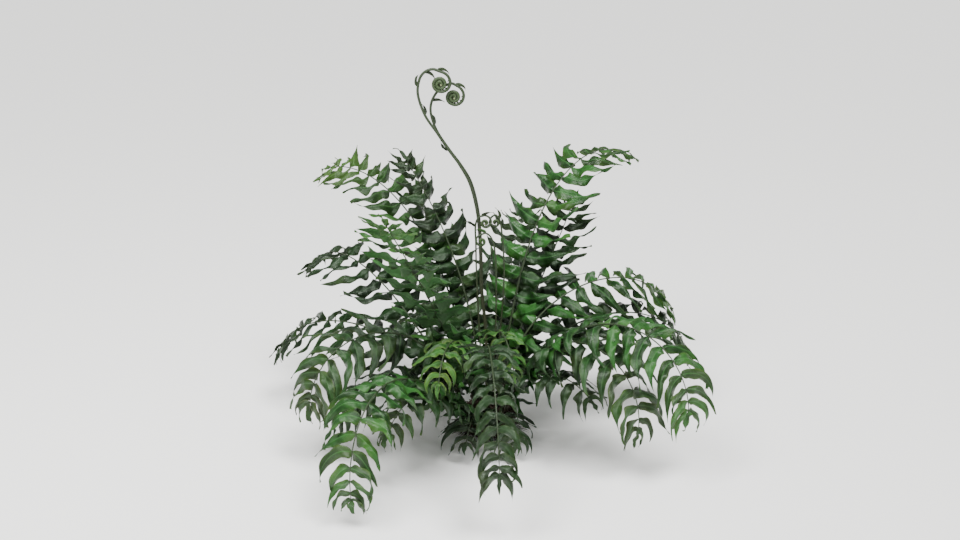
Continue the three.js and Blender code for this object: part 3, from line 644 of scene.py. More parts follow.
def crozier_line(crozier):
    """The joints of a stalk and its coil, and how many of them are before the coil."""
    points = [Vector(point) for point in crozier.points]
    centre = Vector(crozier.centre)
    steps = STEPS_A_POINT * (len(points) - 1)
    line = []
    for i in range(steps):
        swell = lerp(STALK_FOOT_SWELL, STALK_SWELL, i / steps)
        line.append(Joint(smooth_place(points, i / steps), crozier.stalk * swell, 0))
    spin = -1 if crozier.clockwise else 1
    entry = points[-1] - centre
    start_angle = math.atan2(entry.z, entry.x)
    start_radius = math.hypot(entry.x, entry.z)
    coil_steps = round(crozier.turns * STEPS_A_TURN)
    for i in range(coil_steps + 1):
        way = i / coil_steps
        angle = start_angle + spin * 2 * math.pi * crozier.turns * way
        closing = min(1, way / SPIRAL_ENTRY_SHARE)
        winding = max(0, (way - SPIRAL_ENTRY_SHARE) / (1 - SPIRAL_ENTRY_SHARE))
        wound = lerp(start_radius, crozier.coil, closing)
        radius = lerp(wound, SPIRAL_EYE_SHARE * crozier.coil, winding)
        place = centre + Vector((math.cos(angle), 0, math.sin(angle))) * radius
        swell = lerp(STALK_SWELL, COIL_SWELL, min(1, COIL_SWELL_HASTE * way))
        line.append(Joint(place, crozier.stalk * swell, way))
    return line, steps


def bud_leaves(name, line):
    """The small folded leaves along a stalk."""
    crozier = CROZIERS[name]
    across = Vector((0, 1, 0))
    source_steps = 2 * (len(crozier.points) - 1)
    leaves = []
    for order, (share, side) in enumerate(crozier.buds):
        index = round(share * (source_steps - 1)) * STEPS_A_POINT // 2
        place = line[index].place
        along = (line[index + 1].place - place).normalized()
        reach = (across.cross(along) * side * BUD_OUT + along * BUD_ALONG).normalized()
        droop = Vector((0, 0, -BUD_DROOP if share > DROOPING_BUDS_FROM else 0))
        leaves.append(Leaf(
            root=place, reach=reach, pull=square_to(reach, along + droop).normalized(),
            lead=across.cross(reach).normalized(), curl=BUD_CURL, wave=dice(order + 3),
            length=BUD_LENGTH, half_width=BUD_HALF_WIDTH, twist=BUD_TWIST_SPREAD * swing(order),
            side=side, share=share))
    return leaves


def coil_leaves(name, line, steps):
    """The rows of tiny rolled leaflets on both faces of a coil."""
    centre = Vector(CROZIERS[name].centre)
    leaves = []
    for index in range(steps + COIL_LEAF_FIRST, len(line) - 1, COIL_LEAF_STRIDE):
        place, radius, _ = line[index]
        along = (line[index + 1].place - place).normalized()
        inward = (centre - place).normalized()
        for side in (1, -1):
            out = Vector((0, side, 0))
            reach = out * COIL_LEAF_OUT + inward * COIL_LEAF_INWARD + along * COIL_LEAF_ALONG
            reach.normalize()
            leaves.append(Leaf(
                root=place, reach=reach, pull=square_to(reach, inward).normalized(),
                lead=square_to(reach, along).normalized(), curl=COIL_LEAF_CURL, wave=dice(index),
                length=COIL_LEAF_LENGTH * radius, half_width=COIL_LEAF_HALF_WIDTH * radius,
                side=side, share=index / len(line), tint=lerp(*COIL_LEAF_TINTS, dice(index + side))))
    return leaves


# Node trees

class Link:
    """A node's output, which can be used in sums."""

    def __init__(self, web, socket):
        self.web = web
        self.socket = socket

    def other(self, name):
        """Another output of the same node."""
        return Link(self.web, find_socket(self.socket.node.outputs, name))

    def __add__(self, other):
        return self.web.sum_of("ADD", self, other)

    def __radd__(self, other):
        return self.web.sum_of("ADD", other, self)

    def __sub__(self, other):
        return self.web.sum_of("SUBTRACT", self, other)

    def __rsub__(self, other):
        return self.web.sum_of("SUBTRACT", other, self)

    def __mul__(self, other):
        return self.web.sum_of("MULTIPLY", self, other)

    def __rmul__(self, other):
        return self.web.sum_of("MULTIPLY", self, other)

    def __truediv__(self, other):
        return self.web.sum_of("DIVIDE", self, other)

    def __pow__(self, other):
        return self.web.sum_of("POWER", self, other)


def find_socket(sockets, name):
    """The socket in use that has this name or place in the row."""
    if isinstance(name, int):
        return sockets[name]
    for socket in sockets:
        if socket.name == name and socket.enabled:
            return socket
    raise KeyError(f"no socket {name} among {[socket.name for socket in sockets]}")


def is_vector(value):
    if isinstance(value, Link):
        return value.socket.type == "VECTOR"
    return isinstance(value, tuple)


class Web:
    """Adds the nodes of one geometry or material tree."""

    def __init__(self, tree):
        self.tree = tree

    def add(self, kind, settings=None, sockets=None, output=None):
        """A node with its settings made first, then the values or links of its sockets."""
        node = self.tree.nodes.new(kind)
        for name, value in (settings or {}).items():
            setattr(node, name, value)
        for name, value in (sockets or {}).items():
            self.join(value, find_socket(node.inputs, name))
        enabled = [socket for socket in node.outputs if socket.enabled]
        if output:
            return Link(self, find_socket(node.outputs, output))
        return Link(self, enabled[0]) if enabled else None

    def join(self, value, socket):
        if isinstance(value, Link):
            self.tree.links.new(value.socket, socket)
        elif isinstance(value, list):
            for part in value:
                self.tree.links.new(part.socket, socket)
        else:
            socket.default_value = value

    def sum_of(self, operation, first, second):
        vectors = (is_vector(first), is_vector(second))
        if not any(vectors):
            return self.maths(operation, first, second)
        if operation == "MULTIPLY" and not all(vectors):
            vector, scale = (first, second) if vectors[0] else (second, first)
            return self.add("ShaderNodeVectorMath", {"operation": "SCALE"}, {0: vector, "Scale": scale})
        return self.vector_maths(operation, first, second)

    def maths(self, operation, *values):
        return self.add("ShaderNodeMath", {"operation": operation}, dict(enumerate(values)))

    def vector_maths(self, operation, *values):
        return self.add("ShaderNodeVectorMath", {"operation": operation}, dict(enumerate(values)))

    def bump_at(self, value, middle, spread):
        """1 at the middle, falling smoothly to 0 within about two spreads."""
        away = (value - middle) / spread
        return self.maths("EXPONENT", away * away * -1)

    def sine(self, turns):
        return self.maths("SINE", turns * (2 * math.pi))

    def limit(self, value):
        """The value, kept between 0 and 1."""
        return self.maths("MAXIMUM", self.maths("MINIMUM", value, 1), 0)

    def mix(self, factor, first, second):
        """One colour turning into another."""
        settings = {"data_type": "RGBA", "clamp_factor": True}
        first, second = (
            colour if isinstance(colour, Link) else (*colour, 1) for colour in (first, second))
        return self.add("ShaderNodeMix", settings, {"Factor": factor, "A": first, "B": second})

    def attribute(self, name, kind="FLOAT"):
        """A named attribute of the geometry, in a geometry tree."""
        return self.add("GeometryNodeInputNamedAttribute", {"data_type": kind}, {"Name": name})

    def painted(self, name, output="Fac"):
        """A named attribute of the geometry, in a material."""
        return self.add("ShaderNodeAttribute", {"attribute_name": name}, None, output)


def new_geometry_web(name, sockets):
    """A geometry tree with named inputs, and the links of those inputs."""
    tree = bpy.data.node_groups.new(name, "GeometryNodeTree")
    tree.interface.new_socket("Geometry", in_out="INPUT", socket_type="NodeSocketGeometry")
    for label, kind in sockets.items():
        tree.interface.new_socket(label, in_out="INPUT", socket_type="NodeSocket" + kind)
    tree.interface.new_socket("Geometry", in_out="OUTPUT", socket_type="NodeSocketGeometry")
    web = Web(tree)
    group = web.add("NodeGroupInput")
    links = {label: group.other(label) for label in ("Geometry", *sockets)}
    return web, links


TREE_NAME = "Leafy stem"

# The inputs that the leafy stem tree takes from the blade's settings, and the others
BLADE_SOCKETS = {
    "Points along": "Int",
    "Points across": "Int",
    "Thickness": "Float",
    "Tooth count": "Float",
    "Tooth depth": "Float",
    "Lobe depth": "Float",
    "Ruffle depth": "Float",
    "Rib depth": "Float",
    "Ear size": "Float",
    "Fold": "Float",
    "Billow": "Float",
    "Sickle": "Float",
    "Flick": "Float",
}
OTHER_SOCKETS = {"Stem sides": "Int", "Leaf material": "Material", "Stem material": "Material"}


def leafy_stem_tree():
    """A tree that grows a stem along a line of points, and a blade out of every leaf root."""
    web, given = new_geometry_web(TREE_NAME, {**BLADE_SOCKETS, **OTHER_SOCKETS})
    stem = stem_of(web, given)
    blades = blades_of(web, given)
    joined = web.add("GeometryNodeJoinGeometry", None, {"Geometry": [stem, blades]})
    real = web.add("GeometryNodeRealizeInstances", None, {"Geometry": joined})
    green = web.add("GeometryNodeSetMaterial", None, {
        "Geometry": real, "Material": given["Stem material"]})
    done = web.add("GeometryNodeSetMaterial", None, {
        "Geometry": green, "Material": given["Leaf material"],
        "Selection": web.attribute("is_leaf", "BOOLEAN")})
    web.add("NodeGroupOutput", None, {"Geometry": done})
    return web.tree


def stem_of(web, given):
    line = web.add("GeometryNodeMeshToCurve", None, {"Mesh": given["Geometry"]})
    ring = web.add(
        "GeometryNodeCurvePrimitiveCircle", None, {"Resolution": given["Stem sides"], "Radius": 1.0})
    tube = web.add("GeometryNodeCurveToMesh", None, {
        "Curve": line, "Profile Curve": ring, "Scale": web.attribute("stem_radius"), "Fill Caps": True})
    return web.add("GeometryNodeSetShadeSmooth", None, {"Geometry": tube})


def blades_of(web, given):
    roots = web.add("GeometryNodeSeparateGeometry", {"domain": "POINT"}, {
        "Geometry": given["Geometry"], "Selection": web.attribute("is_leaf", "BOOLEAN")})
    # The slab is 1 long from its root, and goes from -1 to 1 across and upwards
    slab = web.add("GeometryNodeMeshCube", None, {
        "Size": (1.0, 2.0, 2.0), "Vertices X": given["Points along"],
        "Vertices Y": given["Points across"], "Vertices Z": 2})
    spot = web.add("GeometryNodeInputPosition") + (0.5, 0, 0)
    slab = web.add("GeometryNodeStoreNamedAttribute", {"data_type": "FLOAT_VECTOR"}, {
        "Geometry": slab, "Name": "blade", "Value": spot})
    placed = web.add("GeometryNodeInstanceOnPoints", None, {"Points": roots, "Instance": slab})
    real = web.add("GeometryNodeRealizeInstances", None, {"Geometry": placed})
    shaped = web.add(
        "GeometryNodeSetPosition", None, {"Geometry": real, "Position": blade_place(web, given)})
    # A blade of side 1 comes out of the sums with its faces turned inwards
    turned = web.add("GeometryNodeFlipFaces", None, {
        "Mesh": shaped, "Selection": web.attribute("side")})
    return web.add("GeometryNodeSetShadeSmooth", None, {"Geometry": turned})


def blade_place(web, given):
    """Where each point of a flat slab goes on its own leaf."""
    blade = web.attribute("blade", "FLOAT_VECTOR")
    parts = web.add("ShaderNodeSeparateXYZ", None, {"Vector": blade})
    way, across, above = parts, parts.other("Y"), parts.other("Z")
    side = web.attribute("side")
    half = web.attribute("half_width")
    wave = web.attribute("wave")
    edge = web.maths("ABSOLUTE", across)

    # wave is the leaf's own draw. Each feature turns it by another number, so that none keep in step.
    swell = way ** SWELL_ROOT_POWER * (1 - way) ** SWELL_TIP_POWER * SWELL
    slender = swell + (1 - way) ** TAIL_POWER * TAIL
    teeth = (web.maths("FRACT", way * given["Tooth count"] + wave * 7) - 0.5) * given["Tooth depth"]
    lobes = web.sine(way * LOBE_WAVES + wave * 5 + across * LOBE_SKEW) * (1 - way) * given["Lobe depth"]
    ear = web.bump_at(way, EAR_PLACE, EAR_SPREAD) * web.limit(across * EAR_SHARPNESS) * given["Ear size"]
    reach_out = half * slender * (1 + teeth + lobes + ear) + LEAST_HALF_WIDTH * MM
    mood = web.sine(wave * 11)
    sickle = way * (1 - way) * half * given["Sickle"] * (mood - SICKLE_BIAS)
    sideways = across * reach_out + sickle

    roll = web.sine(way * EDGE_WAVES + wave) * across * half * EDGE_WAVE
    fold = reach_out * edge * given["Fold"] * (mood * -FOLD_SPREAD - 1)
    fade = web.limit(way * FADE_IN) * (1 - way) ** FADE_OUT_POWER
    ruffle = web.sine(way * RUFFLE_WAVES + wave * 3 + across * RUFFLE_SKEW) * edge * edge * fade
    billow = web.sine(way * BILLOW_WAVES + wave * 2) * fade * given["Billow"]
    tail = web.limit(way - FLICK_FROM) ** FLICK_POWER * web.attribute("leaf_length")
    flick = tail * given["Flick"] * (web.sine(wave * 23) + FLICK_BIAS)
    groove = web.limit(1 - edge * GROOVE_SHARPNESS) * given["Rib depth"] * -1
    thin = (1 - edge * edge * EDGE_THINNER) * (TIP_THINNER - way) * 0.5
    skin = above * given["Thickness"] * thin
    upwards = roll + fold + (ruffle * given["Ruffle depth"] + billow) * half + flick + groove + skin

    curl = web.attribute("curl")
    reach = web.attribute("reach", "FLOAT_VECTOR")
    pull = web.attribute("pull", "FLOAT_VECTOR")
    lead = web.attribute("lead", "FLOAT_VECTOR")
    angle = curl * way
    cosine = web.maths("COSINE", angle)
    sine = web.maths("SINE", angle)
    centre_line = (reach * sine + pull * (1 - cosine)) * (web.attribute("leaf_length") / curl)
    along = reach * cosine + pull * sine
    hinge = web.vector_maths("CROSS_PRODUCT", reach, pull)
    along_hinge = web.vector_maths("DOT_PRODUCT", lead, hinge)
    along_pull = web.vector_maths("DOT_PRODUCT", lead, pull)
    flat = hinge * along_hinge + (pull * cosine - reach * sine) * along_pull
    face = web.vector_maths("CROSS_PRODUCT", flat, along) * side
    turn = web.attribute("twist") * way
    width = flat * web.maths("COSINE", turn) + face * web.maths("SINE", turn)
    upper = face * web.maths("COSINE", turn) - flat * web.maths("SINE", turn)
    return web.attribute("root", "FLOAT_VECTOR") + centre_line + width * sideways + upper * upwards


# What the bones know of each leaf: plain numbers, lengths with their fields, and directions
LEAF_FLOATS = ("curl", "twist", "wave", "side", "tint", "share")
LEAF_LENGTHS = {"leaf_length": "length", "half_width": "half_width"}
LEAF_VECTORS = ("reach", "pull", "lead")

# What a grown piece has no more use for
HELPERS = (
    "stem_radius", "is_leaf", "root", "curl", "twist", "wave", "side", *LEAF_LENGTHS, *LEAF_VECTORS)


def bones_of(name, line, leaves):
    """A mesh of the stem's line and of one loose point for each leaf, with what each point knows."""
    count = len(line)
    mesh = bpy.data.meshes.new(name + " bones")
    places = [joint.place * MM for joint in line] + [leaf.root * MM for leaf in leaves]
    edges = [(i, i + 1) for i in range(count - 1)]
    mesh.from_pydata(places, edges, [])

    def store(label, kind, field, values):
        attribute = mesh.attributes.new(label, kind, "POINT")
        attribute.data.foreach_set(field, values)

    radii = [joint.radius * MM for joint in line]
    store("stem_radius", "FLOAT", "value", radii + [0] * len(leaves))
    store("coil", "FLOAT", "value", [float(joint.coil) for joint in line] + [0] * len(leaves))
    store("is_leaf", "BOOLEAN", "value", [False] * count + [True] * len(leaves))
    stem_shares = [i / (count - 1) for i in range(count)]
    for label in LEAF_FLOATS:
        values = [float(getattr(leaf, label)) for leaf in leaves]
        store(label, "FLOAT", "value", (stem_shares if label == "share" else [0.0] * count) + values)
    for label, field in LEAF_LENGTHS.items():
        values = [getattr(leaf, field) * MM for leaf in leaves]
        store(label, "FLOAT", "value", [0.0] * count + values)
    for label in LEAF_VECTORS:
        values = [part for leaf in leaves for part in getattr(leaf, label)]
        store(label, "FLOAT_VECTOR", "vector", [0.0] * 3 * count + values)
    roots = [part * MM for leaf in leaves for part in leaf.root]
    store("root", "FLOAT_VECTOR", "vector", [0.0] * 3 * count + roots)
    return mesh


def grow(name, bones, values):
    """A plain mesh object that the leafy stem tree makes of the bones."""
    seedling = bpy.data.objects.new(name + " seedling", bones)
    bpy.context.scene.collection.objects.link(seedling)
    modifier = seedling.modifiers.new("Growth", "NODES")
    modifier.node_group = bpy.data.node_groups.get(TREE_NAME) or leafy_stem_tree()
    for item in modifier.node_group.interface.items_tree:
        if item.in_out == "INPUT" and item.name in values:
            modifier[item.identifier] = values[item.name]
    seen = seedling.evaluated_get(bpy.context.evaluated_depsgraph_get())
    mesh = bpy.data.meshes.new_from_object(seen)
    # The first slot is the empty one of the bones
    mesh.materials.pop(index=0)
    seedling.modifiers.remove(modifier)
    bpy.data.objects.remove(seedling)
    bpy.data.meshes.remove(bones)
    for label in HELPERS:
        if label in mesh.attributes:
            mesh.attributes.remove(mesh.attributes[label])
    mesh.name = name
    piece = bpy.data.objects.new(name, mesh)
    bpy.context.scene.collection.objects.link(piece)
    return piece


def place_piece(piece, node):
    """Ties a piece to the plant's body, in place of its solid."""
    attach(piece, "root")
    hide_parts(node)


# Materials

def once(name, make):
    """The material of this name, which make fills in when it is first asked for."""
    material = bpy.data.materials.get(name)
    if material is None:
        material = bpy.data.materials.new(name)
        material.use_nodes = True
        material.node_tree.nodes.clear()
        web = Web(material.node_tree)
        shader = web.add("ShaderNodeBsdfPrincipled", None, make(web))
        web.add("ShaderNodeOutputMaterial", None, {"Surface": shader})
    return material


def noise(web, scale, detail, roughness=0.55, stretch=None):
    where = web.add("ShaderNodeTexCoord", None, None, "Object")
    if stretch:
        where = web.add("ShaderNodeMapping", None, {"Vector": where, "Scale": stretch})
    return web.add("ShaderNodeTexNoise", None, {
        "Vector": where, "Scale": scale, "Detail": detail, "Roughness": roughness}, "Fac")


def bump(web, height, sizes):
    strength, distance = sizes
    return web.add("ShaderNodeBump", None, {
        "Strength": strength, "Distance": distance * MM, "Height": height})


def leaf_material(web, light, finish):
    """A leathery blade: pale rib, fine side veins, mottled green, paler and duller underneath."""
    parts = web.add("ShaderNodeSeparateXYZ", None, {"Vector": web.painted("blade", "Vector")})
    way, across, above = parts, parts.other("Y"), parts.other("Z")
    dark = [part * finish.darkest for part in light]
    pale = [min(1, part * RIB_PALER + RIB_LEAST) for part in light]
    dull = [part * UNDERSIDE_PALER + UNDERSIDE_LEAST for part in light]
    share = web.painted("share")
    edge = web.maths("ABSOLUTE", across)
    mottle = noise(web, MOTTLE_SCALE, 4)
    patches = noise(web, PATCH_SCALE, 2)

    # Painted shade: one half of each blade and its foot by the rachis are darker, as if in shadow
    shade = web.limit((PAINTED_SHADE_HALF_TO - across) / 2) * PAINTED_SHADE_HALF
    shade += web.limit(1 - way / PAINTED_SHADE_FOOT_TO) * PAINTED_SHADE_FOOT
    lightness = (mottle - NOISE_MIDDLE) * MOTTLE_CONTRAST
    lightness += web.painted("tint") * TINT_SPREAD - TINT_OFFSET
    body = web.mix(web.limit(lightness - shade), dark, light)

    # The edge colour comes in patches, towards the frond's tip, on the rim and at the blade's tip
    old = web.limit((patches - PATCH_FROM) * PATCH_CONTRAST) * PATCHES
    old += web.limit(share - OLD_TIP_FROM) * finish.on_tip
    rim = web.limit(edge * RIM_CONTRAST - RIM_OFFSET) * share * share * finish.on_rim
    body = web.mix(old + rim + web.limit(way - DRY_TIP_FROM) * DRY_TIP, body, finish.edge)

    rib = web.bump_at(across, 0, RIB_SPREAD) * (1 - way * RIB_FADE)
    body = web.mix(rib * RIB, body, pale)
    under = web.limit((1 - above) / 2)
    body = web.mix(under * UNDERSIDE, body, dull)
    veins = web.sine(way * SIDE_VEINS - edge * VEIN_SLANT)
    crumple = noise(web, CRUMPLE_SCALE, 2)
    height = veins * VEIN_RELIEF + mottle * MOTTLE_RELIEF + rib * RIB_RELIEF + crumple * CRUMPLE_RELIEF
    roughness = finish.roughness + mottle * MOTTLE_ROUGHNESS + under * UNDERSIDE_ROUGHNESS
    return {
        "Base Color": body,
        "Roughness": web.limit(roughness),
        "Normal": bump(web, height, LEAF_BUMP),
        "Specular IOR Level": LEAF_SPECULAR,
        "Specular Tint": LEAF_SPECULAR_TINT,
    }


def stem_material(web, stalk):
    """A stipe or stalk: brownish at its foot, green above, with dark flecks, and paler in its coil."""
    share = web.painted("share")
    coil = web.painted("coil")
    speckle = web.limit((noise(web, SPECKLE_SCALE, 2) - SPECKLE_FROM) * SPECKLE_CONTRAST)
    streak = noise(web, STREAK_SCALE, 3)
    green = web.limit(share * STEM_GREENING + (streak - NOISE_MIDDLE) * STREAKS)
    body = web.mix(green, STEM_FOOT, stalk)
    body = web.mix(speckle * web.limit(SPECKLES_TO - share), body, STEM_FLECKS)
    body = web.mix(web.limit(coil * COIL_GREENING) * COIL_GREEN_SHARE, body, COIL_GREEN)
    body = web.mix(web.limit(1 - (1 - coil) * COIL_EYE_CONTRAST), body, COIL_EYE)
    return {
        "Base Color": body,
        "Roughness": web.limit(streak * STREAK_ROUGHNESS + STEM_ROUGHNESS),
        "Normal": bump(web, speckle + streak * STREAK_RELIEF, STEM_BUMP),
    }


def fibre_material(web, light):
    """Old scales and roots: dry brown fibres."""
    fibres = noise(web, FIBRE_SCALE, FIBRE_DETAIL, FIBRE_NOISE_ROUGHNESS, FIBRE_STRETCH)
    dark = [part * FIBRE_DARKEST for part in light]
    body = web.mix(web.limit(fibres * FIBRE_CONTRAST - FIBRE_OFFSET), dark, light)
    return {
        "Base Color": body,
        "Roughness": FIBRE_ROUGHNESS,
        "Normal": bump(web, fibres, FIBRE_BUMP),
    }


# Papery scales

def scale_leaf(place, reach, upright, length, draw):
    """One dry scale that lies along a direction and stands a little off it."""
    return Leaf(
        root=place, reach=reach, pull=-upright, lead=upright.cross(reach).normalized(),
        curl=lerp(*SCALE_CURLS, dice(draw + 1)), wave=dice(draw + 3), length=length,
        half_width=SCALE_SLIMNESS * length, twist=SCALE_TWIST_SPREAD * swing(draw + 2))


def crown_scales():
    """Scales over the crown's domed top, in a spiral from the middle outwards."""
    leaves = []
    for i in range(CROWN_SCALES):
        radius = CROWN_SCALES_TO * CROWN_RADIUS * math.sqrt((i + 0.5) / CROWN_SCALES)
        out, around = outwards(SPIRAL_TURN * i)
        fall = 2 * CROWN_DROP * CROWN_HEIGHT * radius / CROWN_RADIUS ** 2
        slope = (out - Vector((0, 0, fall))).normalized()
        normal = slope.cross(around).normalized()
        stand = lerp(*CROWN_SCALE_STAND, dice(i))
        reach = (slope * CROWN_SCALE_OUT + normal * stand).normalized()
        upright = (square_to(reach, normal) - slope * CROWN_SCALE_TILT).normalized()
        upright = square_to(reach, upright).normalized()
        place = out * radius
        place.z = crown_top(radius) - SCALE_SEAT
        length = lerp(*CROWN_SCALE_LENGTHS, dice(i + 7))
        leaves.append(scale_leaf(place, reach, upright, length, i))
    return leaves


def flank_radius(height):
    """How far the crown's flank is from its axis, which is widest at the belly."""
    return lerp(CROWN_FOOT_RADIUS, CROWN_RADIUS, min(1, height / CROWN_BELLY_HEIGHT))


def flank_scales():
    """Shaggy scales round the crown's flank, which point up and out."""
    leaves = []
    for i in range(FLANK_SCALES):
        height = lerp(*FLANK_HEIGHTS, dice(i + 0.5))
        out, around = outwards(SPIRAL_TURN * i)
        reach = out * lerp(*FLANK_SCALE_STAND, dice(i + 3)) + around * swing(i + 4)
        reach = (reach + Vector((0, 0, 1))).normalized()
        upright = square_to(reach, out).normalized()
        place = out * (flank_radius(height) - SCALE_SEAT)
        place.z = height
        length = lerp(*FLANK_SCALE_LENGTHS, dice(i + 8))
        leaves.append(scale_leaf(place, reach, upright, length, i + 300))
    return leaves


def crown_roots():
    """Wiry roots that leave the crown's foot and bend down to what it stands on."""
    leaves = []
    for i in range(CROWN_ROOTS):
        out, around = outwards(SPIRAL_TURN * i + dice(i))
        height = lerp(*ROOT_HEIGHTS, dice(i + 9))
        place = out * (flank_radius(height) - ROOT_SEAT)
        place.z = height
        reach = (out + around * ROOT_FAN * swing(i + 11)).normalized()
        length = lerp(*ROOT_LENGTHS, dice(i + 12))
        curl = min(ROOT_MOST_CURL, ROOT_DROP * (height - ROOT_CLEARANCE) / length)
        leaves.append(Leaf(
            root=place, reach=reach, pull=Vector((0, 0, -1)), lead=Vector((-reach.y, reach.x, 0)),
            curl=curl, wave=dice(i + 13), length=length, half_width=ROOT_HALF_WIDTH))
    return leaves


def stipe_scales(name, seed, places):
    """Scales round the bare foot of a frond, fewer and smaller further up."""
    frond = FRONDS[name]
    highest = STIPE_SCALES_TO * frond.bare + STIPE_SCALES_FROM
    leaves = []
    for i in range(STIPE_SCALES):
        way = (i + 0.5) / STIPE_SCALES
        draw = seed * 50 + i
        share = lerp(STIPE_SCALES_FROM, highest, way ** STIPE_SCALE_SPACING_POWER)
        stop = stop_at(frond, places, share)
        turn = SPIRAL_TURN * i + seed
        out = stop.left * math.cos(turn) + stop.up * math.sin(turn)
        reach = (stop.along + out * lerp(*STIPE_SCALE_STAND, dice(draw))).normalized()
        upright = square_to(reach, out).normalized()
        place = stop.place + out * (STIPE_SCALE_SEAT * rachis_half_width(share))
        leaves.append(scale_leaf(place, reach, upright, lerp(*STIPE_SCALE_LENGTHS, way), draw))
    return leaves


# Sizes and colours that a user may change

def paint(red, green, blue):
    """A colour as a screen shows it, from 0 to 255, made linear."""
    return tuple(((part / 255 + 0.055) / 1.055) ** 2.4 for part in (red, green, blue))


def length_setting(name, description, millimetres):
    return bpy.props.FloatProperty(
        name=name, description=description, default=millimetres * MM, min=0, unit="LENGTH")


def share_setting(name, description, value):
    return bpy.props.FloatProperty(
        name=name, description=description, default=value, min=0, max=1, subtype="FACTOR")


def colour_setting(name, description, colour):
    return bpy.props.FloatVectorProperty(
        name=name, description=description, default=colour, size=3, min=0, max=1, subtype="COLOR")


class BladeSettings(bpy.types.PropertyGroup):
    """The relief of a leaflet's blade."""
    points_along: bpy.props.IntProperty(
        name="Points along", description="Rows of points from a leaflet's root to its tip",
        default=25, min=5, max=60)
    points_across: bpy.props.IntProperty(
        name="Points across", description="Points from one edge of a leaflet to the other",
        default=7, min=3, max=15)
    thickness: length_setting("Thickness", "How thick a leaflet is at its rib", 0.9)
    rib_depth: length_setting("Rib depth", "How deep the groove over the rib is", 0.7)
    tooth_count: bpy.props.FloatProperty(
        name="Teeth", description="Teeth along each edge of a leaflet", default=10, min=0)
    tooth_depth: share_setting("Tooth depth", "A tooth's depth as a share of half the width", 0.06)
    lobe_depth: share_setting("Lobe depth", "A lobe's depth as a share of half the width", 0.2)
    ruffle_depth: share_setting("Ruffle", "How far the edges wave up and down", 0.55)
    ear_size: share_setting("Ear", "How far the ear at a leaflet's root stands out", 0.35)
    fold: share_setting("Fold", "How far the edges fold down, as a share of half the width", 0.55)
    billow: share_setting("Billow", "How far the blade rises and falls on its way to the tip", 0.55)
    sickle: bpy.props.FloatProperty(
        name="Sickle", description="How far the blade bows back before its tip", default=2.0, min=0)
    flick: share_setting("Flick", "How far the tip turns up, as a share of the length", 0.85)


class ColourSettings(bpy.types.PropertyGroup):
    """The colours of the plant's parts."""
    # Deep, middle and bright green are one green with painted shade, in between and with painted light, for
    # fronds in shade and fronds in light
    deep: colour_setting("Deep green", "Leaflets of the oldest fronds", paint(20, 46, 17))
    mid: colour_setting("Middle green", "Leaflets of the common fronds", paint(31, 64, 26))
    fresh: colour_setting("Fresh green", "Leaflets of the frond that yellows to its tip", paint(40, 78, 27))
    bright: colour_setting("Bright green", "Leaflets of the glossy fronds", paint(36, 84, 30))
    young: colour_setting("Young green", "Leaflets of the youngest fronds", paint(46, 92, 33))
    stalk: colour_setting("Stalk", "Stipes and the stalks of the croziers", paint(38, 53, 26))
    # Scales: their own dry brown, made darker as painted shade of the crown under the fronds
    scale: colour_setting("Scales", "Dry scales of the crown and stipes", paint(60, 46, 28))


class StageSettings(bpy.types.PropertyGroup):
    """The floor and the lights."""
    floor_side: length_setting("Floor side", "Length of the floor's sides", 14000)
    floor_colour: colour_setting("Floor", "Colour of the floor and the air", paint(247, 247, 245))
    main_power: bpy.props.FloatProperty(
        name="Main light", description="Power of the large light above", default=100, min=0, unit="POWER")
    sun_strength: bpy.props.FloatProperty(
        name="Sun", description="Strength of the soft sun that reaches the whole floor", default=4.6, min=0)
    sky_strength: bpy.props.FloatProperty(
        name="Sky", description="Strength of the even light from all sides", default=0.5, min=0)


class FernSettings(bpy.types.PropertyGroup):
    """All settings of the fern."""
    blade: bpy.props.PointerProperty(type=BladeSettings)
    colours: bpy.props.PointerProperty(type=ColourSettings)
    stage: bpy.props.PointerProperty(type=StageSettings)


# Finishes

STEM_FOOT = paint(50, 51, 29)
STEM_FLECKS = paint(34, 32, 18)
COIL_GREEN = paint(54, 74, 36)
COIL_EYE = paint(190, 200, 146)

# darkest is the share of a leaflet's colour in its darkest marks and in its painted shade. edge is the
# colour of its old patches, of the frond's tip and of the leaflet's rim, and on_tip and on_rim are its
# strengths there.
LeafFinish = namedtuple("LeafFinish", "slot darkest edge on_tip on_rim roughness")
# The deep, mid and bright finishes are one green with painted shade, in between and with painted light
LEAF_FINISHES = {
    "deep": LeafFinish("frond_deep_green", 0.22, paint(66, 84, 36), 0.4, 0.3, 0.208),
    "mid": LeafFinish("frond_mid_green", 0.24, paint(84, 98, 40), 0.5, 0.4, 0.24),
    "fresh": LeafFinish("frond_fresh_green", 0.3, paint(86, 120, 44), 1.6, 0.25, 0.272),
    "bright": LeafFinish("frond_bright_green", 0.24, paint(88, 116, 46), 0.5, 0.4, 0.208),
    "young": LeafFinish("frond_young_green", 0.3, paint(124, 154, 62), 0.1, 0.5, 0.272),
    "stalk": LeafFinish("crozier_stalk", 0.4, paint(76, 92, 40), 0.5, 0.2, 0.32),
}


def leaf_finish(tone):
    light = tuple(getattr(bpy.context.scene.fern.colours, tone))
    return once("leaf " + tone, lambda web: leaf_material(web, light, LEAF_FINISHES[tone]))


def stem_finish():
    stalk = tuple(bpy.context.scene.fern.colours.stalk)
    return once("stipe", lambda web: stem_material(web, stalk))


def scale_finish():
    scale = tuple(bpy.context.scene.fern.colours.scale)
    return once("scales", lambda web: fibre_material(web, scale))


def blade_values(leaf, stem, changes):
    """The inputs of the leafy stem tree: the blade's settings with a piece's changes, and materials."""
    blade = bpy.context.scene.fern.blade
    values = {label: getattr(blade, label.lower().replace(" ", "_")) for label in BLADE_SOCKETS}
    return {**values, **changes, "Stem sides": STEM_SIDES, "Leaf material": leaf, "Stem material": stem}


# Operators

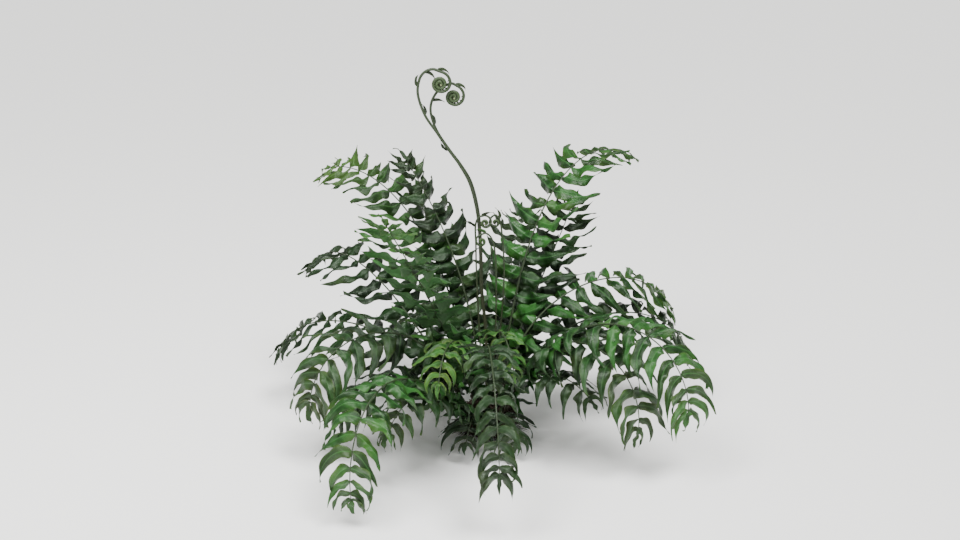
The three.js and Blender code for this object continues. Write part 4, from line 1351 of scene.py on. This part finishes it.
class FERN_OT_fronds(bpy.types.Operator):
    """Grow every frond with its rachis and its leaflets"""
    bl_idname = "fern.fronds"
    bl_label = "Grow fronds"

    def execute(self, context):
        for seed, (name, frond) in enumerate(FRONDS.items(), start=1):
            places = walk_frond(frond)
            line = []
            for step, place in enumerate(places):
                radius = RACHIS_SLIMMER * rachis_half_width(step / WALK_STEPS)
                line.append(Joint(place, radius, 0))
            leaves = frond_leaves(name, seed, places)
            bones = bones_of(name, line, leaves)
            values = blade_values(leaf_finish(frond.tone), stem_finish(), {})
            piece = grow(name.replace("frond", "leafy_frond"), bones, values)
            place_piece(piece, name)
            print(name, len(leaves), "leaflets of", 2 * frond.pairs + 1)
        return {"FINISHED"}


class FERN_OT_croziers(bpy.types.Operator):
    """Grow the bare stalks with their coiled tips"""
    bl_idname = "fern.croziers"
    bl_label = "Grow croziers"

    def execute(self, context):
        for name, crozier in CROZIERS.items():
            line, steps = crozier_line(crozier)
            leaves = bud_leaves(name, line) + coil_leaves(name, line, steps)
            bones = bones_of(name, line, leaves)
            values = blade_values(leaf_finish(crozier.tone), stem_finish(), SMALL_LEAF)
            piece = grow(name.replace("crozier", "coiled_shoot"), bones, values)
            place_piece(piece, name)
        return {"FINISHED"}


class FERN_OT_crown(bpy.types.Operator):
    """Finish the crown and cover it and the feet of the fronds with dry scales"""
    bl_idname = "fern.crown"
    bl_label = "Scaly crown"

    def execute(self, context):
        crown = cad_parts["crown"]
        for slot in crown.material_slots:
            slot.material = scale_finish()
        leaves = crown_scales() + flank_scales() + crown_roots()
        for seed, (name, frond) in enumerate(FRONDS.items(), start=1):
            leaves += stipe_scales(name, seed, walk_frond(frond))
        bones = bones_of("papery scales", [], leaves)
        values = blade_values(scale_finish(), scale_finish(), {**SMALL_LEAF, "Flick": 0.0})
        piece = grow("papery_scales", bones, values)
        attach(piece, "root")
        return {"FINISHED"}


class FERN_OT_stage(bpy.types.Operator):
    """Lay the pale floor, set the soft lights and the camera"""
    bl_idname = "fern.stage"
    bl_label = "Stage"

    def execute(self, context):
        stage = context.scene.fern.stage
        half = stage.floor_side / 2
        mesh = bpy.data.meshes.new("floor")
        corners = [(-half, -half, 0), (half, -half, 0), (half, half, 0), (-half, half, 0)]
        mesh.from_pydata(corners, [], [(0, 1, 2, 3)])
        floor = bpy.data.objects.new("floor", mesh)
        context.scene.collection.objects.link(floor)
        pale = (*stage.floor_colour, 1)
        dull = {"Base Color": pale, "Roughness": FLOOR_ROUGHNESS}
        mesh.materials.append(once("floor", lambda web: dull))

        world = bpy.data.worlds.new("air")
        world.use_nodes = True
        sky = world.node_tree.nodes["Background"]
        sky.inputs["Color"].default_value = pale
        sky.inputs["Strength"].default_value = stage.sky_strength
        context.scene.world = world

        main_light = bpy.data.lights.new("main light", "AREA")
        main_light.size = MAIN_LIGHT_SIDE
        main_light.energy = stage.main_power
        add_light(main_light, Vector(MAIN_LIGHT_PLACE))
        sun = bpy.data.lights.new("sun", "SUN")
        sun.angle = math.radians(SUN_ANGLE)
        sun.energy = stage.sun_strength
        add_light(sun, Vector(SUN_PLACE))

        lens = bpy.data.cameras.new("camera")
        lens.lens = CAMERA_LENS
        lens.sensor_width = CAMERA_SENSOR
        camera = bpy.data.objects.new("camera", lens)
        context.scene.collection.objects.link(camera)
        camera.location = CAMERA_PLACE
        camera.rotation_euler = (math.radians(90 - CAMERA_PITCH), 0, 0)
        context.scene.camera = camera
        return {"FINISHED"}


def add_light(lamp, place):
    """A light that looks at the middle of the plant."""
    light = bpy.data.objects.new(lamp.name, lamp)
    light.location = place
    light.rotation_euler = (Vector(LIGHT_AIM) - place).to_track_quat("-Z", "Y").to_euler()
    bpy.context.scene.collection.objects.link(light)


STEPS = ("fronds", "croziers", "crown", "stage")


class FERN_PT_panel(bpy.types.Panel):
    """The fern's settings and the buttons that build it"""
    bl_label = "Sword Fern"
    bl_space_type = "VIEW_3D"
    bl_region_type = "UI"
    bl_category = "Fern"

    def draw(self, context):
        fern = context.scene.fern
        for group in (fern.blade, fern.colours, fern.stage):
            box = self.layout.box()
            for name in group.__annotations__:
                box.prop(group, name)
        for step in STEPS:
            self.layout.operator("fern." + step)


CLASSES = (
    BladeSettings,
    ColourSettings,
    StageSettings,
    FernSettings,
    FERN_OT_fronds,
    FERN_OT_croziers,
    FERN_OT_crown,
    FERN_OT_stage,
    FERN_PT_panel,
)


def register():
    for kind in CLASSES:
        bpy.utils.register_class(kind)
    bpy.types.Scene.fern = bpy.props.PointerProperty(type=FernSettings)


def unregister():
    del bpy.types.Scene.fern
    for kind in reversed(CLASSES):
        bpy.utils.unregister_class(kind)


def main():
    register()
    for step in STEPS:
        getattr(bpy.ops.fern, step)()


if __name__ == "__main__":
    main()
